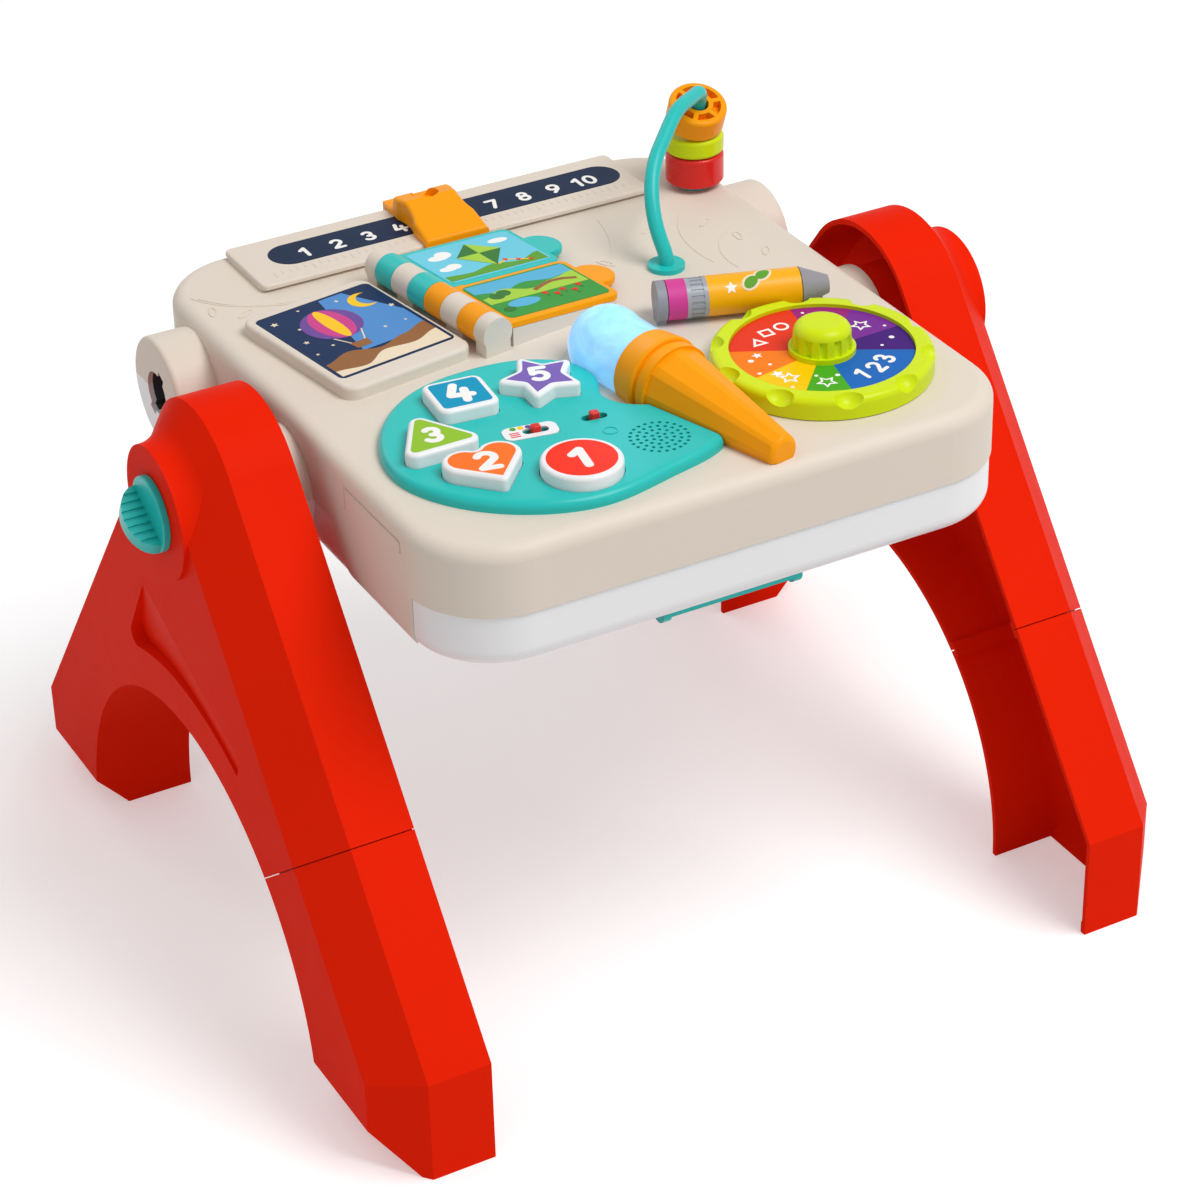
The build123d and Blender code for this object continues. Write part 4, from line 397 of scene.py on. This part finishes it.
for name, colour in INSERT_COLOURS.items():
    materials[f"insert_{name}"] = moulded(f"insert_{name}_plastic", linear(*colour), rough=INSERT_ROUGH,
                                          shine=INSERT_SHINE)
for name, node in nodes.items():
    node.data.materials.clear()
    node.data.materials.append(materials[slots[name]])

inks = {}
for name, colour in INK_COLOURS.items():
    inks[name] = moulded(f"{name}_ink", linear(*colour), rough=0.45, spread=0.06, relief=0.1,
                         shine=PRINT_SHINE)


# Places and thin shapes

def top_of(node):
    """Place at the middle of a node's top."""
    low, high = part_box(node)
    return Matrix.Translation(((low.x + high.x) / 2, (low.y + high.y) / 2, high.z))


def sheet(node, turn):
    """Place at the middle of a turned node's top, and the node's half width and half depth in millimetres."""
    back = turn.inverted()
    points = [back @ vertex.co for vertex in nodes[node].data.vertices]
    low = [min(point[axis] for point in points) for axis in range(3)]
    high = [max(point[axis] for point in points) for axis in range(3)]
    middle = Vector(((low[0] + high[0]) / 2, (low[1] + high[1]) / 2, high[2]))
    return turn @ Matrix.Translation(middle), (high[0] - low[0]) / 2 / MM, (high[1] - low[1]) / 2 / MM


def in_metres(outline):
    return [(x * MM, y * MM) for x, y in outline]


def stepped(index, start=1.0):
    """Share of a print's height that one of its shapes has."""
    return start + index % HEIGHT_STEPS * HEIGHT_STEP


def prism(work, outline, low, high):
    """Closes an outline into a thin plate between two heights."""
    under = [work.verts.new((x, y, low)) for x, y in outline]
    over = [work.verts.new((x, y, high)) for x, y in outline]
    work.faces.new(list(reversed(under)))
    work.faces.new(over)
    for index in range(len(outline)):
        after = (index + 1) % len(outline)
        work.faces.new((under[index], under[after], over[after], over[index]))


def band(work, outer, inner, low, high):
    """Closes the room between two outlines of as many points into a thin frame."""
    rings = [[work.verts.new((x, y, z)) for x, y in line]
             for line, z in ((outer, low), (outer, high), (inner, high), (inner, low))]
    for here, there in zip(rings, rings[1:] + rings[:1]):
        for index in range(len(outer)):
            after = (index + 1) % len(outer)
            work.faces.new((here[index], here[after], there[after], there[index]))


def add_piece(name, work, node, material):
    """Makes a piece of finished faces, which moves with a node and takes the given material."""
    mesh = bpy.data.meshes.new(name)
    work.to_mesh(mesh)
    work.free()
    mesh.materials.append(material)
    piece = add_object(name, mesh)
    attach(piece, nodes[node]["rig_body"])


def printed(name, node, place, material, outlines, high, rings=()):
    """Thin shapes on a place's own plane, from outlines in millimetres."""
    work = bmesh.new()
    for index, outline in enumerate(outlines):
        prism(work, in_metres(outline), 0, high * stepped(index))
    for index, (outer, inner) in enumerate(rings):
        band(work, in_metres(outer), in_metres(inner), 0, high * stepped(index, RING_START))
    work.transform(place)
    bmesh.ops.recalc_face_normals(work, faces=work.faces)
    add_piece(name, work, node, material)


def picture(node, place, layers):
    """Prints layers of (title, ink, layer, outlines) on a node."""
    for title, colour, layer, outlines in layers:
        printed(f"{node}_{title}", node, place, inks[colour], outlines, layer * INK)


def wrapped(name, node, joint, lean, material, outlines, high):
    """Prints outlines, along and round a roller, on the side that leans by an angle towards the front."""
    axis, middle = Vector(joint["axis"]).normalized(), Vector(joint["pos_m"])
    front = axis.cross(Z)
    points = [vertex.co - middle for vertex in nodes[node].data.vertices]
    along = [point.dot(axis) for point in points]
    centre = (min(along) + max(along)) / 2
    reach = max((point - axis * point.dot(axis)).length for point in points)
    work = bmesh.new()
    for index, outline in enumerate(outlines):
        prism(work, in_metres(outline), 0, high * stepped(index))
    bmesh.ops.recalc_face_normals(work, faces=work.faces)
    bmesh.ops.triangulate(work, faces=work.faces)
    bmesh.ops.subdivide_edges(work, edges=work.edges, cuts=WRAP_CUTS, use_grid_fill=True)
    for vertex in work.verts:
        turn = lean - vertex.co.y / reach
        out = Z * cos(turn) + front * sin(turn)
        vertex.co = middle + axis * (centre + vertex.co.x) + out * (reach + vertex.co.z)
    add_piece(name, work, node, material)


# Outlines, in millimetres

def polar(angle, reach):
    return reach * cos(radians(angle)), reach * sin(radians(angle))


def ellipse(x, y, wide, tall=None, turn=0.0, count=32):
    tall = wide if tall is None else tall
    points = []
    for index in range(count):
        angle = 2 * pi * index / count
        across, up = wide * cos(angle), tall * sin(angle)
        points.append((x + across * cos(turn) - up * sin(turn), y + across * sin(turn) + up * cos(turn)))
    return points


def star(x, y, outer, inner_share=0.45, points=5, turn=pi / 2):
    corners = []
    for index in range(2 * points):
        reach = outer if index % 2 == 0 else outer * inner_share
        angle = turn + pi * index / points
        corners.append((x + reach * cos(angle), y + reach * sin(angle)))
    return corners


def line_of(outline, share):
    """An outline with a smaller copy inside it, for a printed line."""
    mid_x = sum(x for x, y in outline) / len(outline)
    mid_y = sum(y for x, y in outline) / len(outline)
    return outline, [(mid_x + (x - mid_x) * share, mid_y + (y - mid_y) * share) for x, y in outline]


def arc(x, y, reach, start, stop, tall=None, count=20):
    """Points of an arc between two angles in degrees."""
    tall = reach if tall is None else tall
    angles = [radians(start + (stop - start) * index / count) for index in range(count + 1)]
    return [(x + reach * cos(angle), y + tall * sin(angle)) for angle in angles]


def ribbon(points, wide):
    """Outline of a line of even width along points."""
    left, right = [], []
    for index, (x, y) in enumerate(points):
        before_x, before_y = points[max(index - 1, 0)]
        after_x, after_y = points[min(index + 1, len(points) - 1)]
        long = hypot(after_x - before_x, after_y - before_y)
        across_x, across_y = (before_y - after_y) / long * wide / 2, (after_x - before_x) / long * wide / 2
        left.append((x + across_x, y + across_y))
        right.append((x - across_x, y - across_y))
    return left + right[::-1]


def hill(left, right, low, heights):
    """A rolling edge over a straight foot, with evenly spaced heights rounded by a cosine."""
    count = len(heights) - 1
    line = []
    for index in range(count * HILL_STEPS + 1):
        part = min(index // HILL_STEPS, count - 1)
        ease = (1 - cos(pi * (index / HILL_STEPS - part))) / 2
        height = heights[part] * (1 - ease) + heights[part + 1] * ease
        line.append((left + (right - left) * index / (count * HILL_STEPS), height))
    return [(left, low)] + line + [(right, low)]


# Lines and loops of each digit, one unit tall about its middle
DIGITS = {
    "0": ([], [(0, 0, 0.25, 0.4)]),
    "1": ([[(-0.19, 0.2), (0.05, 0.4)], [(0.05, 0.4), (0.05, -0.4)]], []),
    "2": ([arc(0, 0.17, 0.23, 160, -38) + [(-0.22, -0.39)], [(-0.22, -0.4), (0.24, -0.4)]], []),
    "3": ([arc(-0.03, 0.2, 0.2, 150, -90), arc(-0.03, -0.2, 0.23, 90, -150, 0.2)], []),
    "4": ([[(-0.12, 0.4), (-0.25, -0.1)], [(-0.25, -0.12), (0.28, -0.12)],
           [(0.12, 0.16), (0.12, -0.4)]], []),
    "5": ([[(-0.17, 0.4), (0.22, 0.4)], [(-0.17, 0.4), (-0.2, 0.03)],
           arc(-0.01, -0.15, 0.25, 130, -140)], []),
    "6": ([[(-0.24, -0.14), (-0.19, 0.1), (0.1, 0.4)]], [(0, -0.16, 0.24, 0.24)]),
    "7": ([[(-0.23, 0.4), (0.24, 0.4)], [(0.24, 0.4), (-0.07, -0.4)]], []),
    "8": ([], [(0, 0.2, 0.19, 0.19), (0, -0.18, 0.23, 0.22)]),
    "9": ([[(0.24, 0.14), (0.19, -0.1), (-0.1, -0.4)]], [(0, 0.16, 0.24, 0.24)]),
}


def numbered(name, node, place, number, tall, weight):
    """A plain round-ended number on a place's plane, with its height and line width in millimetres."""
    outlines, rings = [], []
    signs = str(number)
    for index, sign in enumerate(signs):
        shift = (index - (len(signs) - 1) / 2) * DIGIT_SPACE
        lines, loops = DIGITS[sign]
        for line in lines:
            line = [((x + shift) * tall, y * tall) for x, y in line]
            outlines.append(ribbon(line, weight))
            ends = (line[0], line[-1])
            outlines += [ellipse(x, y, weight / 2, count=DIGIT_END_POINTS) for x, y in ends]
        for x, y, wide, high in loops:
            x, y, wide, high = (x + shift) * tall, y * tall, wide * tall, high * tall
            rings.append([ellipse(x, y, wide + edge, high + edge) for edge in (weight / 2, -weight / 2)])
    printed(name, node, place, inks["white"], outlines, NUMBER_INK, rings)


# Prints, piece by piece

def number_line():
    """Numbers along the strip, and ticks along the ruler's edge."""
    strip = top_of("number_strip")
    for number in range(1, STRIP_NUMBERS + 1):
        x = STRIP_SHIFT_X + STRIP_STEP * (number - (STRIP_NUMBERS + 1) / 2)
        place = strip @ Matrix.Translation((x * MM, STRIP_SHIFT_Y * MM, 0))
        numbered(f"strip_number_{number}", "number_strip", place, number, STRIP_TALL, STRIP_WEIGHT)
    ticks = []
    for index in range(TICKS):
        left = TICK_SHIFT_X + TICK_STEP * (index - (TICKS - 1) / 2) - TICK_W / 2
        right = left + TICK_W
        low = TICK_END_Y - (TICK_LONG if index % TICK_GROUP == 0 else TICK_SHORT)
        ticks.append([(left, low), (right, low), (right, TICK_END_Y), (left, TICK_END_Y)])
    ruler = strip @ Matrix.Translation((0, 0, -STRIP_PROUD))
    printed("ruler_ticks", "upper_shell", ruler, materials["tan"], ticks, STRIP_PROUD)


def button_numbers():
    for shape, (number, tall, turn, shift) in BUTTON_NUMBERS.items():
        node = f"button_{shape}_insert"
        place = top_of(node) @ Matrix.Translation((0, shift * MM, 0)) @ Matrix.Rotation(radians(turn), 4, "Z")
        numbered(f"button_number_{number}", node, place, number, tall, BUTTON_WEIGHT * tall)


def panel_picture(turn):
    """A balloon over dunes at night."""
    place, wide, deep = sheet("picture_panel", turn)
    wide, deep = wide - PANEL_MARGIN, deep - PANEL_MARGIN
    spots = ((-32, 34, 2.6), (-24, 20, 1.4), (-30, 4, 2.0), (-33, -12, 1.3), (12, 36, 1.6),
             (34, 12, 2.2), (16, -8, 1.5), (30, -8, 1.2), (-12, 40, 1.2), (-20, -8, 1.3))
    moon = arc(25, 28, 9, 60, 300) + arc(29, 28, 7.5, 280, 80)
    picture("picture_panel", place, (
        ("beam", "haze", 1, [[(4, deep), (20, deep), (wide, 4), (wide, -24), (-10, -24)]]),
        ("far_dune", "brown", 2, [hill(-wide, wide, -deep, (-26, -20, -27, -22, -16))]),
        ("near_dune", "cream", 3, [hill(-wide, wide, -deep, (-36, -40, -31, -34, -28))]),
        ("balloon", "violet", 2, [ellipse(-6, 14, 18, 19)]),
        ("balloon_gores", "magenta", 3, [ellipse(-6, 14, 11.5, 19)]),
        ("balloon_middle", "sun", 4, [ellipse(-6, 14, 4.5, 19)]),
        ("ropes", "cream", 2, [ribbon(((-16, -1), (-10, -14)), 0.8), ribbon(((4, -1), (-2, -14)), 0.8)]),
        ("basket", "brown", 4, [[(-11, -20), (-1, -20), (0, -13), (-12, -13)]]),
        ("moon", "sun", 2, [moon]),
        ("stars", "cream", 2, [star(x, y, reach) for x, y, reach in spots]),
    ))


def rear_page_picture(turn):
    """A kite under clouds."""
    place, wide, deep = sheet("page_rear_print", turn)
    wide, deep = wide - PAGE_MARGIN, deep - PAGE_MARGIN
    clouds = [ellipse(-22, 10, 7, 3.5), ellipse(-17, 12.5, 5.5, 4.5), ellipse(-26, -6, 6, 3),
              ellipse(-21, -4.5, 5, 3.6), ellipse(24, 14, 7, 3)]
    tail = [(4 + 7 * index, -15 + 3.5 * sin(index * 1.6)) for index in range(4)]
    picture("page_rear_print", place, (
        ("clouds", "white", 1, clouds),
        ("hills", "leaf", 1, [hill(-wide, wide, -deep, (-15, -17, -13, -17, -11))]),
        ("kite", "moss", 2, [[(3, 19), (19, 4), (3, -15), (-13, 4)]]),
        ("kite_half", "fresh", 3, [[(3, 19), (19, 4), (3, 4)], [(3, 4), (3, -15), (-13, 4)]]),
        ("kite_tail", "sun", 2, [ribbon(tail, 1.2)]),
        ("kite_bows", "red", 3, [star(x, y, 2.4, 0.4, 4) for x, y in tail[1:]]),
    ))


def front_page_picture(turn):
    """A meadow with a pond, a path and tulips."""
    place, wide, deep = sheet("page_front_print", turn)
    wide, deep = wide - PAGE_MARGIN, deep - PAGE_MARGIN
    stems = ((2, -6), (8, -10), (14, -7), (20, -11), (26, -6))
    path = [(wide - 4 - 8 * index, 2 + 4 * sin(index * 0.9)) for index in range(5)]
    picture("page_front_print", place, (
        ("sky", "sky", 1, [hill(-wide, wide, deep, (12, 8, 13, 9, 12))[::-1]]),
        ("hills", "fresh", 2, [hill(-wide, wide, -4, (4, 11, 3, 8, 12))]),
        ("pond", "sky", 2, [ellipse(-16, -10, 11, 5)]),
        ("path", "brown", 3, [ribbon(path, 3)]),
        ("bushes", "moss", 3, [ellipse(-25, 4, 5, 4), ellipse(-19, 6, 4.5, 4), ellipse(-29, -14, 4, 3)]),
        ("stems", "moss", 2, [ribbon(((x, y), (x, y - 5)), 0.8) for x, y in stems]),
        ("tulips", "red", 3, [star(x, y, 2.6, 0.6, 3, -pi / 2) for x, y in stems]),
    ))


def dial_marks():
    """Stars, dots and shapes in white, and the first three numbers, round the dial."""
    place = top_of("dial_disc")
    stars = [line_of(star(*polar(angle, reach), 6.5, 0.5, turn=radians(angle)), 0.62)
             for angle, reach in ((-118, 38), (22, 37), (-150, 38))]
    x, y = polar(116, 37)
    square = [(x - 4, y - 4), (x + 4, y - 4), (x + 4, y + 4), (x - 4, y + 4)]
    x, y = polar(135, 37)
    triangle = [(x - 5, y - 4), (x + 5, y - 4), (x, y + 5)]
    shapes = [line_of(ellipse(*polar(98, 36), 4.6), 0.66), line_of(square, 0.62), line_of(triangle, 0.5)]
    dots = [ellipse(*polar(angle, reach), size) for angle, reach, size in (
        (-106, 31, 1.4), (-128, 31, 1.1), (-10, 42, 1.6), (-22, 34, 1.0), (50, 44, 1.2), (62, 35, 1.6),
        (72, 46, 1.0), (168, 42, 1.7), (180, 34, 1.1), (-172, 45, 1.2), (-142, 47, 1.0), (8, 46, 1.0))]
    filled = [star(*polar(angle, reach), size) for angle, reach, size in (
        (160, 37, 3.4), (-162, 38, 4.2), (58, 43, 3.0))]
    printed("dial_marks", "dial_disc", place, inks["white"], dots + filled, INK, stars + shapes)
    for number, angle in DIAL_ANGLES.items():
        x, y = polar(angle, DIAL_REACH)
        turned = Matrix.Translation((x * MM, y * MM, 0)) @ Matrix.Rotation(radians(angle + 90), 4, "Z")
        numbered(f"dial_number_{number}", "dial_disc", place @ turned, number, DIAL_TALL, DIAL_WEIGHT)


def pencil_marks():
    """A star, and a sprig with a pale rim, on the pencil's barrel."""
    leaves = ((-2.0, -2.5, 0.7), (5.5, 2.5, 0.7))
    rims = [ellipse(x, y, 6.2, 4.6, turn) for x, y, turn in leaves]
    sprig = [ellipse(x, y, 4.8, 3.2, turn) for x, y, turn in leaves]
    roll = joints["pencil_roll"]
    for title, colour, layer, outlines in (
        ("star", "white", 2, [star(-14, -5, 4)]),
        ("sprig_rim", "cream", 2, rims),
        ("sprig", "leaf", 4, sprig),
    ):
        name = f"pencil_{title}"
        wrapped(name, "pencil_barrel", roll, PENCIL_LEAN, inks[colour], outlines, layer * INK)


def palette_marks():
    """Lines and dots on the switch plate, and a raised ring on the palette."""
    place, _, deep = sheet("switch_plate", Matrix.Rotation(SWITCH_TURN, 4, "Z"))
    dot_y = deep - DOT_INSET
    picture("switch_plate", place, (
        ("lines", "red", 1, [ribbon(((-12, y), (-6.5, y)), 1) for y in (0.2, -1.8, -3.8)]),
        ("dot_low", "leaf", 1, [ellipse(-8.6, dot_y, DOT_R)]),
        ("dot_middle", "sun", 1, [ellipse(-4.2, dot_y, DOT_R)]),
        ("dot_high", "violet", 1, [ellipse(0.2, dot_y, DOT_R)]),
    ))
    ring = [line_of(ellipse(*PALETTE_RING), 0.84)]
    place = Matrix.Translation((0, 0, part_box("palette")[1].z))
    printed("palette_ring", "palette", place, materials["teal"], [], RELIEF, ring)


def raised_lines():
    """Lines of the mould on the free parts of the table's top, as high as the brush lies."""
    sweeps = [arc(158, 52, 44, 108, 196, 62), arc(176, 30, 52, 116, 190, 48), arc(20, 140, 66, 300, 348, 96),
              arc(-112, 166, 60, 196, 262, 48), arc(-96, 178, 78, 205, 252, 66)]
    sprigs = [(138, 84, 40), (146, 58, 80), (150, 32, 60), (104, 92, 20), (60, 66, 120),
              (-166, 130, 70), (-150, 118, 30)]
    leaves = [line_of(ellipse(x, y, 6.5, 2.4, radians(turn)), 0.7) for x, y, turn in sprigs]
    lines = [ribbon(points, LINE_W) for points in sweeps]
    place = Matrix.Translation((0, 0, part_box("brush_handle")[0].z))
    printed("top_lines", "upper_shell", place, materials["tan"], lines, RELIEF, leaves)


book = Matrix.Rotation(BOOK_TURN, 4, "Z")
pages = book @ Matrix.Rotation(PAGE_FALL, 4, "Y")
number_line()
button_numbers()
panel_picture(book)
rear_page_picture(pages)
front_page_picture(pages)
dial_marks()
pencil_marks()
palette_marks()
raised_lines()


# Floor, light and camera

def seen_white(tree, lit, seen):
    """Strength of a white light: lit for what it lights, seen where a camera, mirror or clear piece looks."""
    path = tree.nodes.new("ShaderNodeLightPath")
    looked_at = path.outputs["Is Camera Ray"]
    for ray in ("Is Glossy Ray", "Is Transmission Ray"):
        looked_at = combined(tree, "MAXIMUM", looked_at, path.outputs[ray])
    return ranged(tree, looked_at, lit, seen)


def floor():
    """Pale floor that keeps the part's shadow and looks white round it."""
    mesh = bpy.data.meshes.new("floor")
    corners = [(x * FLOOR_REACH, y * FLOOR_REACH, 0) for x, y in ((-1, -1), (1, -1), (1, 1), (-1, 1))]
    mesh.from_pydata(corners, [], [(0, 1, 2, 3)])
    pale = moulded("pale_floor", (FLOOR_TONE, FLOOR_TONE, FLOOR_TONE), rough=0.7, spread=0.01, relief=0.0)
    tree = pale.node_tree
    shader = tree.nodes["Principled BSDF"]
    shader.inputs["Emission Color"].default_value = (1, 1, 1, 1)
    tree.links.new(seen_white(tree, 0.0, FLOOR_WHITE), shader.inputs["Emission Strength"])
    mesh.materials.append(pale)
    plane = add_object("floor", mesh)


def lens_glow():
    """Faint blue light that the lit tip throws on what lies round it."""
    low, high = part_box("brush_lens")
    light = bpy.data.lights.new("lens_glow", "POINT")
    light.energy = GLOW_POWER
    light.color = GLOW_COLOUR
    light.shadow_soft_size = GLOW_SIZE
    lamp = add_object("lens_glow", light)
    lamp.location = ((low.x + high.x) / 2, (low.y + high.y) / 2, high.z + GLOW_LIFT)


def area_light(name, place, size, power):
    light = bpy.data.lights.new(name, "AREA")
    light.energy = power
    light.size = size
    lamp = add_object(name, light)
    lamp.location = place
    lamp.rotation_euler = (LIGHT_AIM - place).to_track_quat("-Z", "Y").to_euler()


def studio():
    world = bpy.data.worlds.new("studio")
    bpy.context.scene.world = world
    world.use_nodes = True
    tree = world.node_tree
    back = tree.nodes["Background"]
    back.inputs["Color"].default_value = (1, 1, 1, 1)
    tree.links.new(seen_white(tree, WORLD_LIGHT, WORLD_SEEN), back.inputs["Strength"])
    for name, (place, size, power) in LIGHTS.items():
        area_light(name, place, size, power)
    bpy.context.scene.view_settings.view_transform = "Standard"


def camera():
    azimuth, elevation = CAMERA_AZIMUTH, CAMERA_ELEVATION
    back = Vector((sin(azimuth) * cos(elevation), -cos(azimuth) * cos(elevation), sin(elevation)))
    right = Vector((cos(azimuth), sin(azimuth), 0))
    up = back.cross(right)
    right_rolled = right * cos(CAMERA_ROLL) + up * sin(CAMERA_ROLL)
    up_rolled = up * cos(CAMERA_ROLL) - right * sin(CAMERA_ROLL)
    axes = Matrix((right_rolled, up_rolled, back)).transposed()
    view = add_object("camera", bpy.data.cameras.new("camera"))
    view.data.lens = CAMERA_LENS
    view.data.clip_end = CAMERA_FAR
    view.matrix_world = Matrix.Translation(CAMERA_PLACE) @ axes.to_4x4()
    bpy.context.scene.camera = view


floor()
lens_glow()
studio()
camera()
